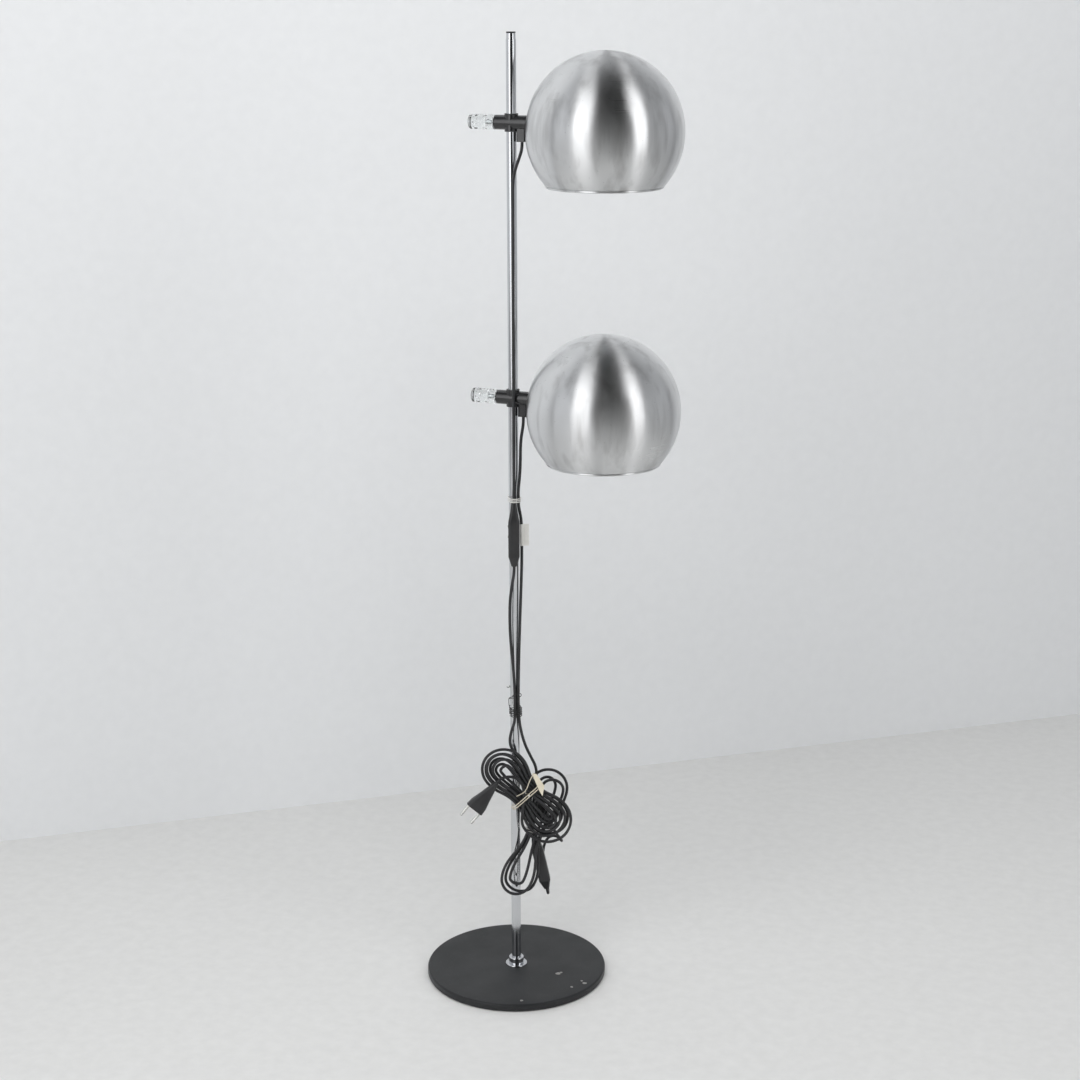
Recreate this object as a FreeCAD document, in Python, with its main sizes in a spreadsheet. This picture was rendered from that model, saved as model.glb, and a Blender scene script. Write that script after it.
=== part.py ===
import FreeCAD, Part
import math
import os

import Sketcher
from FreeCAD import Rotation, Vector

# Floor lamp with two ball shades that slide, swivel and tilt on a chrome pole.
# Millimetres. The pole stands on Z, the floor is z = 0, and both arms point along +X.
# Each head is drawn with its origin where its arm's axis crosses the pole's axis.

doc = FreeCAD.newDocument("lamp")
sheet = doc.addObject("Spreadsheet::Sheet", "Sizes")
next_row = 1


# ---------------------------------------------------------------- sizes

class Size:
    """A number together with the sheet expression that gives it."""

    def __init__(self, number, text):
        self.number = float(number)
        self.text = text

    def __float__(self):
        return self.number

    def __neg__(self):
        return Size(-self.number, f"(-1 * {self.text})")

    def __add__(self, other):
        other = as_size(other)
        return Size(self.number + other.number, f"({self.text} + {other.text})")

    def __sub__(self, other):
        other = as_size(other)
        return Size(self.number - other.number, f"({self.text} - {other.text})")

    def __mul__(self, other):
        other = as_size(other)
        return Size(self.number * other.number, f"({self.text} * {other.text})")

    def __truediv__(self, other):
        other = as_size(other)
        return Size(self.number / other.number, f"({self.text} / {other.text})")

    def __radd__(self, other):
        return as_size(other) + self

    def __rsub__(self, other):
        return as_size(other) - self

    def __rmul__(self, other):
        return as_size(other) * self


def as_size(value):
    if isinstance(value, Size):
        return value
    number = float(value)
    return Size(number, f"({number:.6f})" if number < 0 else f"{number:.6f}")


def leg(long_side, short_side):
    """The other short side of a right triangle."""
    squares = long_side * long_side - short_side * short_side
    return Size(math.sqrt(squares.number), f"sqrt({squares.text})")


def size(alias, number):
    """Writes a driving size to the sheet and returns it."""
    global next_row
    sheet.set(f"A{next_row}", alias)
    sheet.set(f"B{next_row}", str(number))
    sheet.setAlias(f"B{next_row}", alias)
    next_row += 1
    return Size(number, f"Sizes.{alias}")


# stand
pole_od = size("pole_outer_diameter", 13.0)
pole_wall = size("pole_wall", 1.0)
pole_top = size("pole_top_height", 1292.0)
neck_od = size("pole_neck_diameter", 12.0)
neck_length = size("pole_neck_length", 9.0)
plug_cap = size("top_plug_cap_thickness", 1.5)
base_od = size("base_diameter", 250.0)
base_top = size("base_top_height", 11.0)
base_round = size("base_edge_radius", 2.5)
felt_thick = size("felt_thickness", 1.2)
felt_inset = size("felt_inset", 5.0)
recess_od = size("base_recess_diameter", 36.0)
recess_deep = size("base_recess_depth", 6.6)
flange_od = size("foot_flange_diameter", 30.5)
flange_thick = size("foot_flange_thickness", 2.2)
collar_od = size("foot_collar_diameter", 21.0)
collar_high = size("foot_collar_height", 9.0)
stud_od = size("foot_stud_diameter", 8.0)
bush_length = size("foot_bush_length", 24.0)
nut_flats = size("foot_nut_across_flats", 17.0)
nut_high = size("foot_nut_height", 4.4)
nut_flange_od = size("foot_nut_flange_diameter", 24.0)
nut_flange_thick = size("foot_nut_flange_thickness", 1.5)
fit = size("radial_fit", 0.05)
gap = size("clear_gap", 0.3)

# heads
upper_arm_z = size("upper_arm_height", 1180.0)
lower_arm_z = size("lower_arm_height", 825.0)
arm_front = size("arm_front_length", 24.9)
arm_above = size("arm_above_shade_centre", 9.0)
arm_od = size("arm_diameter", 18.5)
arm_back = size("arm_back_length", 22.6)
arm_round = size("arm_back_edge_radius", 2.0)
boss_od = size("boss_diameter", 17.4)
boss_high = size("boss_height", 20.0)
liner_wall = size("liner_wall", 0.7)
liner_flange = size("liner_flange_thickness", 1.25)
liner_slit = size("liner_slit_width", 1.6)
screw_od = size("clamp_screw_diameter", 6.0)
pad_od = size("pad_diameter", 9.0)
pad_back = size("pad_back_distance", 12.4)
pad_travel = size("pad_travel", 1.0)
knob_od = size("knob_diameter", 19.0)
knob_length = size("knob_length", 34.6)
knob_round = size("knob_end_radius", 2.5)
screw_in_knob = size("screw_length_in_knob", 11.0)
dimple_ball = size("dimple_ball_radius", 6.0)
dimple_deep = size("dimple_depth", 1.2)
dimple_pitch = size("dimple_row_pitch", 13.0)
box_long = size("cord_box_length", 11.8)
box_wide = size("cord_box_width", 11.0)
box_start = size("cord_box_start", 8.7)
box_low = size("cord_box_depth", 23.7)
box_round = size("cord_box_corner_radius", 1.6)
cavity_od = size("cavity_diameter", 13.0)
cavity_inset = size("cavity_back_inset", 1.1)
wire_way_top = size("wire_way_top_below_axis", 5.0)
bearing_long = size("nipple_bearing_length", 6.5)
nipple_od = size("nipple_diameter", 10.0)
nipple_bore = size("nipple_bore", 7.0)
nipple_head_thick = size("nipple_head_thickness", 2.7)
seat_thick = size("seat_ring_thickness", 2.2)
inner_nut_od = size("inner_nut_diameter", 17.0)
inner_nut_thick = size("inner_nut_thickness", 3.6)

# shade, lampholder and lamp
shade_radius = size("shade_radius", 100.0)
shade_wall = size("shade_wall", 1.2)
mouth_below = size("mouth_below_centre", 67.0)
bead_radius = size("rim_bead_radius", 1.5)
holder_od = size("holder_diameter", 39.0)
holder_length = size("holder_length", 60.0)
holder_cap_long = size("holder_cap_length", 20.0)
holder_neck_od = size("holder_neck_diameter", 20.0)
holder_neck_long = size("holder_neck_length", 3.0)
holder_dome_long = size("holder_dome_length", 6.0)
holder_step = size("holder_cap_step", 1.0)
socket_od = size("socket_bore_diameter", 27.6)
socket_deep = size("socket_bore_depth", 28.0)
lamp_cap_od = size("lamp_cap_diameter", 26.4)
lamp_cap_long = size("lamp_cap_length", 24.0)
lamp_cap_taper = size("lamp_cap_taper_length", 3.0)
bulb_radius = size("bulb_radius", 30.0)
bulb_wall = size("bulb_wall", 1.0)
bulb_neck_radius = size("bulb_neck_radius", 12.8)
bulb_centre_ahead = size("bulb_centre_past_cap", 60.0)

# cords and what is on them
cord_od = size("cord_diameter", 4.0)
switch_length = size("switch_length", 87.0)
switch_wide = size("switch_width", 16.0)
switch_thick = size("switch_thickness", 15.0)
rocker_length = size("rocker_length", 17.0)
rocker_wide = size("rocker_width", 7.0)
rocker_proud = size("rocker_proud", 1.6)
rocker_tilt = size("rocker_tilt", 7.0)
plug_length = size("plug_body_length", 48.0)
plug_wide = size("plug_face_width", 26.0)
plug_thick = size("plug_face_thickness", 13.7)
pin_od = size("plug_pin_diameter", 4.0)
pin_length = size("plug_pin_length", 19.0)
pin_spacing = size("plug_pin_spacing", 18.6)
wire_od = size("tie_wire_diameter", 1.2)
string_od = size("tie_string_diameter", 1.5)
label_high = size("label_height", 30.0)
label_reach = size("label_reach", 7.8)
label_thick = size("label_paper_thickness", 0.3)
tag_thick = size("tag_thickness", 0.4)

doc.recompute()

pole_r = pole_od / 2
cord_r = cord_od / 2
liner_inner = pole_r + fit
liner_outer = liner_inner + liner_wall
arm_r = arm_od / 2
arm_reach = arm_front + seat_thick + leg(shade_radius, arm_above)


# ---------------------------------------------------------------- building blocks

def bind(item, place, value):
    item.setExpression(place, as_size(value).text)


def put(item, x=0, y=0, z=0):
    """Binds an object's place."""
    item.Placement.Base = Vector(float(x), float(y), float(z))
    for letter, value in (("x", x), ("y", y), ("z", z)):
        bind(item, f"Placement.Base.{letter}", value)
    return item


def plane(body, role):
    return [item for item in body.Origin.OriginFeatures if item.Role == role][0]


def attached(body, name, role):
    sketch = body.newObject("Sketcher::SketchObject", name)
    sketch.AttachmentSupport = (plane(body, role), [""])
    sketch.MapMode = "FlatFace"
    return sketch


def pin_point(sketch, geometry, end, point):
    """Fixes one end of a sketch line or arc at a point given as two sizes."""
    h, v = (as_size(value) for value in point)
    for value, kind, axis in ((h, "DistanceX", -2), (v, "DistanceY", -1)):
        if abs(value.number) < 1e-9:
            sketch.addConstraint(Sketcher.Constraint("PointOnObject", geometry, end, axis))
        else:
            index = sketch.addConstraint(
                Sketcher.Constraint(kind, -1, 1, geometry, end, value.number)
            )
            sketch.setExpression(f"Constraints[{index}]", value.text)


def arc_between(start, end, radius, turn):
    """The arc of under half a turn from start to end; turn is +1 when it goes anticlockwise."""
    chord = end - start
    height = math.sqrt(max(radius**2 - (chord.Length / 2) ** 2, 0.0))
    side = Vector(-chord.y, chord.x, 0) * (turn / chord.Length)
    centre = (start + end) / 2 + side * height
    bulge = (start + end) / 2 - centre
    if bulge.Length < 1e-6:
        bulge = -side
    middle = centre + bulge / bulge.Length * radius
    return Part.ArcOfCircle(start, middle, end)


def trace(sketch, points):
    """A closed outline. An item ("arc", radius, turn) makes the edge that follows it an arc."""
    corners = [item for item in points if item[0] != "arc"]
    bends = {}
    count = 0
    for item in points:
        if item[0] == "arc":
            bends[count - 1] = item[1:]
        else:
            count += 1
    for number, corner in enumerate(corners):
        start = Vector(float(corner[0]), float(corner[1]), 0)
        following = corners[(number + 1) % len(corners)]
        end = Vector(float(following[0]), float(following[1]), 0)
        if number in bends:
            radius, turn = bends[number]
            radius = as_size(radius)
            sketch.addGeometry(arc_between(start, end, radius.number, turn))
        else:
            sketch.addGeometry(Part.LineSegment(start, end))
    for number, corner in enumerate(corners):
        first, last = 1, 2
        if number in bends:
            radius, turn = bends[number]
            if turn < 0:
                first, last = 2, 1
            index = sketch.addConstraint(
                Sketcher.Constraint("Radius", number, as_size(radius).number)
            )
            sketch.setExpression(f"Constraints[{index}]", as_size(radius).text)
        pin_point(sketch, number, first, corner)
        pin_point(sketch, number, last, corners[(number + 1) % len(corners)])


def turned(label, points, axis="V_Axis"):
    """A body turned about Z (V_Axis) or X (H_Axis) from an outline in the XZ plane."""
    body = doc.addObject("PartDesign::Body", label)
    sketch = attached(body, f"{label}_outline", "XZ_Plane")
    trace(sketch, points)
    feature = body.newObject("PartDesign::Revolution", f"{label}_turning")
    feature.Profile = sketch
    feature.ReferenceAxis = (sketch, [axis])
    feature.Angle = 360.0
    return body


def circle_cut(body, name, role, centre, radius, length=None, reverse=False, both=False):
    """A round pocket from one of the body's planes."""
    sketch = attached(body, f"{name}_circle", role)
    spot = Vector(float(centre[0]), float(centre[1]), 0)
    sketch.addGeometry(Part.Circle(spot, Vector(0, 0, 1), float(radius)))
    pin_point(sketch, 0, 3, centre)
    index = sketch.addConstraint(Sketcher.Constraint("Radius", 0, float(radius)))
    sketch.setExpression(f"Constraints[{index}]", as_size(radius).text)
    feature = body.newObject("PartDesign::Pocket", name)
    feature.Profile = sketch
    if length is None:
        feature.Type = 1
    else:
        bind(feature, "Length", length)
    feature.Reversed = reverse
    feature.Midplane = both
    return feature


def rod(label, radius, start, length, axis="z"):
    """A cylinder along Z or X that begins at start."""
    item = doc.addObject("Part::Cylinder", label)
    bind(item, "Radius", radius)
    bind(item, "Height", length)
    if axis == "x":
        item.Placement.Rotation = Rotation(Vector(0, 1, 0), 90)
        bind(item, "Placement.Base.x", start)
    else:
        bind(item, "Placement.Base.z", start)
    return item


def block(label, long, wide, high, x, y, z):
    item = doc.addObject("Part::Box", label)
    for name, value in (("Length", long), ("Width", wide), ("Height", high)):
        bind(item, name, value)
    return put(item, x, y, z)


def ball(label, radius, x, y, z):
    item = doc.addObject("Part::Sphere", label)
    bind(item, "Radius", radius)
    return put(item, x, y, z)


def cut(label, keep, away):
    item = doc.addObject("Part::Cut", label)
    item.Base = keep
    item.Tool = away
    return item


def common(label, one, other):
    item = doc.addObject("Part::Common", label)
    item.Base = one
    item.Tool = other
    return item


def fused(label, items):
    item = doc.addObject("Part::MultiFuse", label)
    item.Shapes = items
    return item


def made(label, shape):
    """A sub-part whose shape is worked out in code."""
    item = doc.addObject("Part::Feature", label)
    item.Shape = shape
    return item


def rounded(body, name, radius, wanted):
    """Rounds the edges of a body's last feature that wanted(edge) picks."""
    doc.recompute()
    last = body.Tip
    picked = [
        f"Edge{number}"
        for number, edge in enumerate(last.Shape.Edges, 1)
        if wanted(edge)
    ]
    feature = body.newObject("PartDesign::Fillet", name)
    feature.Base = (last, picked)
    bind(feature, "Radius", radius)
    return feature


kept = []


def keep(item, label=None):
    """Lists a finished sub-part, which is written under its own name."""
    item.Label = label or item.Label
    kept.append(item)
    return item


# ---------------------------------------------------------------- stand

def make_stand():
    disc_low = felt_thick
    rim = base_od / 2
    recess_top = disc_low + recess_deep
    stud_r = stud_od / 2
    keep(
        turned(
            "base_disc",
            [
                (stud_r + fit, recess_top),
                (recess_od / 2, recess_top),
                (recess_od / 2, disc_low),
                (rim - base_round / 2, disc_low),
                ("arc", base_round / 2, 1),
                (rim, disc_low + base_round / 2),
                (rim, base_top - base_round),
                ("arc", base_round, 1),
                (rim - base_round, base_top),
                (stud_r + fit, base_top),
            ],
        )
    )
    keep(
        turned(
            "base_felt",
            [
                (0, 0),
                (rim - felt_inset, 0),
                (rim - felt_inset, felt_thick),
                (0, felt_thick),
            ],
        )
    )
    flange_top = base_top + flange_thick
    edge = flange_thick / 2
    keep(
        turned(
            "foot_flange",
            [
                (stud_r + fit, base_top),
                (flange_od / 2, base_top),
                (flange_od / 2, flange_top - edge),
                ("arc", edge, 1),
                (flange_od / 2 - edge, flange_top),
                (stud_r + fit, flange_top),
            ],
        )
    )
    collar_top = flange_top + collar_high
    keep(
        turned(
            "foot_collar",
            [
                (pole_r + fit, flange_top),
                (collar_od / 2, flange_top),
                (collar_od / 2, collar_top - 2 * edge),
                ("arc", 2 * edge, 1),
                (collar_od / 2 - 2 * edge, collar_top),
                (pole_r + fit, collar_top),
            ],
        )
    )
    tube_inner = pole_r - pole_wall
    neck_r = neck_od / 2
    neck_low = pole_top - plug_cap - neck_length
    keep(
        turned(
            "pole_tube",
            [
                (tube_inner, flange_top),
                (pole_r, flange_top),
                (pole_r, neck_low),
                (neck_r, neck_low + (pole_r - neck_r)),
                (neck_r, pole_top - plug_cap),
                (neck_r - pole_wall, pole_top - plug_cap),
                (neck_r - pole_wall, neck_low),
                (tube_inner, neck_low - pole_wall),
            ],
        )
    )
    bush_top = flange_top + bush_length
    keep(
        turned(
            "pole_foot_bush",
            [
                (stud_r + fit, flange_top),
                (tube_inner - fit, flange_top),
                (tube_inner - fit, bush_top),
                (stud_r + fit, bush_top),
            ],
        )
    )
    stem_r = neck_r - pole_wall - fit
    keep(
        turned(
            "pole_top_plug",
            [
                (0, pole_top - plug_cap - neck_length + pole_wall),
                (stem_r, pole_top - plug_cap - neck_length + pole_wall),
                (stem_r, pole_top - plug_cap),
                (neck_r, pole_top - plug_cap),
                (neck_r, pole_top - plug_cap / 2),
                ("arc", plug_cap / 2, 1),
                (neck_r - plug_cap / 2, pole_top),
                (0, pole_top),
            ],
        )
    )
    nut_top = recess_top
    stud_low = nut_top - nut_flange_thick - nut_high
    keep(rod("foot_stud", stud_r, stud_low, bush_top - stud_low))
    flange = rod("nut_flange", nut_flange_od / 2, nut_top - nut_flange_thick, nut_flange_thick)
    prism = doc.addObject("Part::Prism", "nut_prism")
    prism.Polygon = 6
    bind(prism, "Circumradius", nut_flats / math.sqrt(3))
    bind(prism, "Height", nut_high)
    bind(prism, "Placement.Base.z", stud_low)
    whole = fused("nut_whole", [flange, prism])
    bore = rod("nut_bore", stud_r + fit, 0, base_top)
    keep(cut("foot_nut", whole, bore))


# ---------------------------------------------------------------- heads

def make_liner(name):
    """The split nylon sleeve between pole and arm, with a flange at each end."""
    half = boss_high / 2
    end = half + liner_flange
    sleeve = turned(
        f"{name}_liner_sleeve",
        [
            (liner_inner, -end),
            (boss_od / 2, -end),
            (boss_od / 2, -half),
            (liner_outer, -half),
            (liner_outer, half),
            (boss_od / 2, half),
            (boss_od / 2, end),
            (liner_inner, end),
        ],
    )
    slit = block(
        f"{name}_liner_slit",
        boss_od,
        liner_slit,
        3 * boss_high,
        0,
        -liner_slit / 2,
        -1.5 * boss_high,
    )
    return cut(f"{name}_liner", sleeve, slit)


def make_clamp(name):
    """The moulded arm: cross tube, boss round the pole, screw bore, cord cavity and cord box."""
    thread_r = screw_od / 2 + fit
    chamber_r = pad_od / 2 + 2 * fit
    chamber_back = pad_back + pad_travel + gap
    web_front = box_start + cavity_inset
    bearing_back = arm_front - bearing_long
    body = turned(
        f"{name}_clamp",
        [
            (-arm_back, thread_r),
            (-chamber_back, thread_r),
            (-chamber_back, chamber_r),
            (-liner_inner / 2, chamber_r),
            (-liner_inner / 2, 0),
            (web_front, 0),
            (web_front, cavity_od / 2),
            (bearing_back, cavity_od / 2),
            (bearing_back, nipple_od / 2 + fit),
            (arm_front, nipple_od / 2 + fit),
            (arm_front, arm_r),
            (arm_round - arm_back, arm_r),
            ("arc", arm_round, 1),
            (-arm_back, arm_r - arm_round),
        ],
        "H_Axis",
    )
    boss = attached(body, f"{name}_boss_circle", "XY_Plane")
    boss.addGeometry(Part.Circle(Vector(0, 0, 0), Vector(0, 0, 1), float(boss_od / 2)))
    boss.addConstraint(Sketcher.Constraint("Coincident", 0, 3, -1, 1))
    index = boss.addConstraint(Sketcher.Constraint("Radius", 0, float(boss_od / 2)))
    boss.setExpression(f"Constraints[{index}]", (boss_od / 2).text)
    feature = body.newObject("PartDesign::Pad", f"{name}_boss")
    feature.Profile = boss
    bind(feature, "Length", boss_high)
    feature.Midplane = True
    box = attached(body, f"{name}_box_outline", "XY_Plane")
    top = arm_r * 0.76
    box.AttachmentOffset = FreeCAD.Placement(Vector(0, 0, -float(box_low)), Rotation())
    bind(box, "AttachmentOffset.Base.z", -box_low)
    trace(
        box,
        [
            (box_start, -box_wide / 2),
            (box_start + box_long, -box_wide / 2),
            (box_start + box_long, box_wide / 2),
            (box_start, box_wide / 2),
        ],
    )
    feature = body.newObject("PartDesign::Pad", f"{name}_box")
    feature.Profile = box
    bind(feature, "Length", box_low - top)

    def box_edge(edge):
        low = edge.BoundBox.ZMax < -float(arm_r) or (
            edge.BoundBox.ZMin < 0.2 - float(box_low)
        )
        upright = edge.BoundBox.ZLength > 5 and edge.BoundBox.ZMin < 1 - float(box_low)
        return low and upright

    rounded(body, f"{name}_box_rounding", box_round, box_edge)
    wire_x = box_start + box_long / 2
    circle_cut(
        body, f"{name}_wire_way", "XY_Plane", (wire_x, 0), cord_r + fit * 10, box_low - wire_way_top
    )
    circle_cut(body, f"{name}_pole_way", "XY_Plane", (0, 0), liner_outer + fit, both=True)
    # the pad's chamber is opened again where the boss has closed it
    circle_cut(body, f"{name}_chamber", "YZ_Plane", (0, 0), chamber_r, chamber_back)
    return body


def make_pad(name):
    """The brass pressure pad, hollowed where it meets the sleeve."""
    disc = rod(f"{name}_pad_disc", pad_od / 2, -pad_back, pad_back - pole_r / 2, "x")
    hollow = rod(f"{name}_pad_hollow", liner_outer + gap, -boss_high, 2 * boss_high)
    return cut(f"{name}_pad", disc, hollow)


def make_knob(name):
    """The clear knob: a round-ended bar with two rings of finger dimples."""
    inner = -arm_back - gap
    outer = inner - knob_length
    knob_r = knob_od / 2
    bore_end = inner - screw_in_knob
    bar = turned(
        f"{name}_knob_bar",
        [
            (inner, screw_od / 2 + fit),
            (inner, knob_r - 1),
            (inner - 1, knob_r),
            (outer + knob_round, knob_r),
            ("arc", knob_round, 1),
            (outer, knob_r - knob_round),
            (outer, 0),
            (bore_end, 0),
            (bore_end, screw_od / 2 + fit),
        ],
        "H_Axis",
    )
    middle = (inner + outer) / 2
    out = knob_r - dimple_deep + dimple_ball
    rows = (middle - dimple_pitch / 2, middle + dimple_pitch / 2)
    dimples = []
    per_row = 8
    for row, x in enumerate(rows):
        for number in range(per_row):
            angle = 2 * math.pi * number / per_row
            y = out * math.cos(angle)
            z = out * math.sin(angle)
            dimples.append(ball(f"{name}_dimple_{row}_{number}", dimple_ball, x, y, z))
    return cut(f"{name}_knob", bar, fused(f"{name}_dimples", dimples))


def make_shade(name):
    """A spun ball with a beaded mouth, drawn about its own centre."""
    inner_r = shade_radius - shade_wall
    rim_out = leg(shade_radius, mouth_below)
    rim_in = leg(inner_r, mouth_below)
    body = turned(
        f"{name}_shade",
        [
            (rim_in, -mouth_below),
            (rim_out, -mouth_below),
            ("arc", shade_radius, 1),
            (0, shade_radius),
            (0, inner_r),
            ("arc", inner_r, -1),
        ],
    )
    bead = attached(body, f"{name}_bead_circle", "XZ_Plane")
    spot = (rim_in + shade_wall / 2, -mouth_below)
    place = Vector(float(spot[0]), float(spot[1]), 0)
    bead.addGeometry(Part.Circle(place, Vector(0, 0, 1), float(bead_radius)))
    pin_point(bead, 0, 3, spot)
    index = bead.addConstraint(Sketcher.Constraint("Radius", 0, float(bead_radius)))
    bead.setExpression(f"Constraints[{index}]", bead_radius.text)
    feature = body.newObject("PartDesign::Revolution", f"{name}_bead")
    feature.Profile = bead
    feature.ReferenceAxis = (bead, ["V_Axis"])
    feature.Angle = 360.0
    circle_cut(
        body, f"{name}_nipple_hole", "YZ_Plane", (0, arm_above), nipple_od / 2 + fit
    )
    return body


def make_head(name, arm_z):
    """One head; every piece is drawn round the crossing of arm and pole."""
    wall_in = arm_reach - leg(shade_radius - shade_wall, arm_above)
    centre = (arm_reach, 0, -arm_above)
    keep(put(make_liner(name), z=arm_z))
    keep(put(make_clamp(name), z=arm_z))
    keep(put(make_pad(name), z=arm_z))
    keep(put(make_knob(name), z=arm_z))
    screw_length = arm_back + gap + screw_in_knob - pad_back
    screw = rod(
        f"{name}_screw", screw_od / 2, -arm_back - gap - screw_in_knob, screw_length, "x"
    )
    bind(screw, "Placement.Base.z", arm_z)
    keep(screw)
    keep(put(make_shade(name), arm_reach, 0, arm_z - arm_above))

    # the ring between arm and shade, its far side hollowed to the ball
    blank = turned(
        f"{name}_seat_blank",
        [
            (arm_front, nipple_od / 2 + fit),
            (arm_front + 2 * seat_thick, nipple_od / 2 + fit),
            (arm_front + 2 * seat_thick, arm_r),
            (arm_front, arm_r),
        ],
        "H_Axis",
    )
    outside = ball(f"{name}_seat_ball", shade_radius, *centre)
    keep(put(cut(f"{name}_seat_ring", blank, outside), z=arm_z))

    # the nut inside the shade, its near side domed to the ball's inside
    nut_r = inner_nut_od / 2
    nut_end = wall_in + inner_nut_thick
    blank = turned(
        f"{name}_nut_blank",
        [
            (wall_in - seat_thick, nipple_od / 2 + fit),
            (nut_end, nipple_od / 2 + fit),
            (nut_end, nut_r),
            (wall_in - seat_thick, nut_r),
        ],
        "H_Axis",
    )
    inside = ball(f"{name}_nut_ball", shade_radius - shade_wall, *centre)
    keep(put(common(f"{name}_inner_nut", blank, inside), z=arm_z))

    # the threaded nipple, headed inside the arm, runs from the arm to the lampholder
    bearing_back = arm_front - bearing_long
    head_back = bearing_back - gap - nipple_head_thick
    holder_back = nut_end
    nipple_end = holder_back + holder_cap_long / 2
    nipple = turned(
        f"{name}_nipple",
        [
            (head_back, nipple_bore / 2),
            (head_back, cavity_od / 2 - gap),
            (bearing_back - gap, cavity_od / 2 - gap),
            (bearing_back - gap, nipple_od / 2),
            (nipple_end, nipple_od / 2),
            (nipple_end, nipple_bore / 2),
        ],
        "H_Axis",
    )
    keep(put(nipple, z=arm_z))

    # lampholder: domed cap, barrel and screw socket
    holder_r = holder_od / 2
    barrel_back = holder_back + holder_cap_long
    holder_end = holder_back + holder_length
    socket_back = holder_end - socket_deep
    dome = barrel_back - holder_dome_long
    holder = turned(
        f"{name}_lampholder",
        [
            (holder_back, nipple_od / 2 + fit),
            (nipple_end + 1, nipple_od / 2 + fit),
            (nipple_end + 1, 0),
            (socket_back, 0),
            (socket_back, socket_od / 2),
            (holder_end, socket_od / 2),
            (holder_end, holder_r),
            (barrel_back, holder_r),
            (barrel_back, holder_r - holder_step),
            (dome, holder_r - holder_step),
            (holder_back + holder_neck_long, holder_neck_od / 2),
            (holder_back, holder_neck_od / 2),
        ],
        "H_Axis",
    )
    keep(put(holder, z=arm_z))

    # the lamp's screw cap seats on the socket's floor
    cap_r = lamp_cap_od / 2
    cap_end = socket_back + lamp_cap_long
    cap = turned(
        f"{name}_lamp_cap",
        [
            (socket_back, 0),
            (socket_back, cap_r / 3),
            (socket_back + lamp_cap_taper, cap_r),
            (cap_end, cap_r),
            (cap_end, 0),
        ],
        "H_Axis",
    )
    keep(put(cap, z=arm_z))
    bulb_x = socket_back + bulb_centre_ahead
    shoulder = bulb_radius * 0.766
    reach = bulb_radius * 0.643
    inner_r = bulb_radius - bulb_wall
    inner_shoulder = inner_r * 0.766
    inner_reach = inner_r * 0.643
    neck_r = bulb_neck_radius
    neck_end = holder_end + 5 * gap
    glass = turned(
        f"{name}_bulb",
        [
            (cap_end, neck_r),
            (cap_end, neck_r - bulb_wall),
            (neck_end, neck_r - bulb_wall),
            (bulb_x - inner_shoulder, inner_reach),
            ("arc", inner_r, -1),
            (bulb_x, inner_r),
            ("arc", inner_r, -1),
            (bulb_x + inner_r, 0),
            (bulb_x + bulb_radius, 0),
            ("arc", bulb_radius, 1),
            (bulb_x, bulb_radius),
            ("arc", bulb_radius, 1),
            (bulb_x - shoulder, reach),
            (neck_end, neck_r),
        ],
        "H_Axis",
    )
    keep(put(glass, z=arm_z))


make_stand()
make_head("upper", upper_arm_z)
make_head("lower", lower_arm_z)
doc.recompute()

# ---------------------------------------------------------------- cords

# Routes and hanks are given as the camera of the photograph saw them: across is level and to
# the right, ahead is level and towards the viewer, both counted from the pole's axis.
VIEW_TURN = math.radians(22)
ACROSS = Vector(math.cos(VIEW_TURN), math.sin(VIEW_TURN), 0)
AHEAD = Vector(math.sin(VIEW_TURN), -math.cos(VIEW_TURN), 0)
UP = Vector(0, 0, 1)
CORNER_SHARE = 0.45
LAYER_STEP = 4.6


def seen(across, ahead, up):
    return ACROSS * across + AHEAD * ahead + UP * up


def unit(vector):
    return vector / vector.Length


def round_profile(start, direction, radius):
    return Part.Wire([Part.Circle(start, direction, radius).toShape()])


def tube_along(edges, radius):
    """A round tube along edges that meet tangentially; returns its solid and its length."""
    spine = Part.Wire(edges)
    first = edges[0]
    start = first.valueAt(first.FirstParameter)
    direction = first.tangentAt(first.FirstParameter)
    pipe = spine.makePipeShell([round_profile(start, direction, radius)], True, False)
    if pipe.ShapeType != "Solid":
        pipe = pipe.Solids[0]
    expected = math.pi * radius**2 * spine.Length
    print(
        "  tube length", round(spine.Length, 1), "volume / section x length",
        round(pipe.Volume / expected, 4),
    )
    return pipe


def free_cord(label, route):
    """A free stretch of cord: straight runs joined by arcs as large as the runs allow."""
    points = [seen(*point) for point in route]
    edges = []
    radii = []
    reached = points[0]
    for before, corner, after in zip(points, points[1:], points[2:]):
        come = corner - before
        go = after - corner
        turn = come.getAngle(go)
        setback = CORNER_SHARE * min(come.Length, go.Length)
        radius = setback / math.tan(turn / 2)
        radii.append(radius)
        start = corner - unit(come) * setback
        end = corner + unit(go) * setback
        inward = unit(unit(go) - unit(come))
        centre = corner + inward * math.hypot(radius, setback)
        middle = centre - inward * radius
        edges.append(Part.LineSegment(reached, start).toShape())
        edges.append(Part.Arc(start, middle, end).toShape())
        reached = end
    edges.append(Part.LineSegment(reached, points[-1]).toShape())
    print(label, "arc radii in diameters", [round(r / float(cord_od), 1) for r in radii])
    return made(label, tube_along(edges, float(cord_r)))


def half_s(start, middle, along):
    """The arc that leaves start along a direction and ends at middle."""
    chord = middle - start
    angle = along.getAngle(chord)
    if angle < 1e-4:
        return Part.LineSegment(start, middle).toShape()
    aside = unit(chord - along * chord.dot(along))
    heading = along * math.cos(angle / 2) + aside * math.sin(angle / 2)
    through = start + heading * (chord.Length / (2 * math.cos(angle / 2)))
    return Part.Arc(start, through, middle).toShape()


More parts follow.
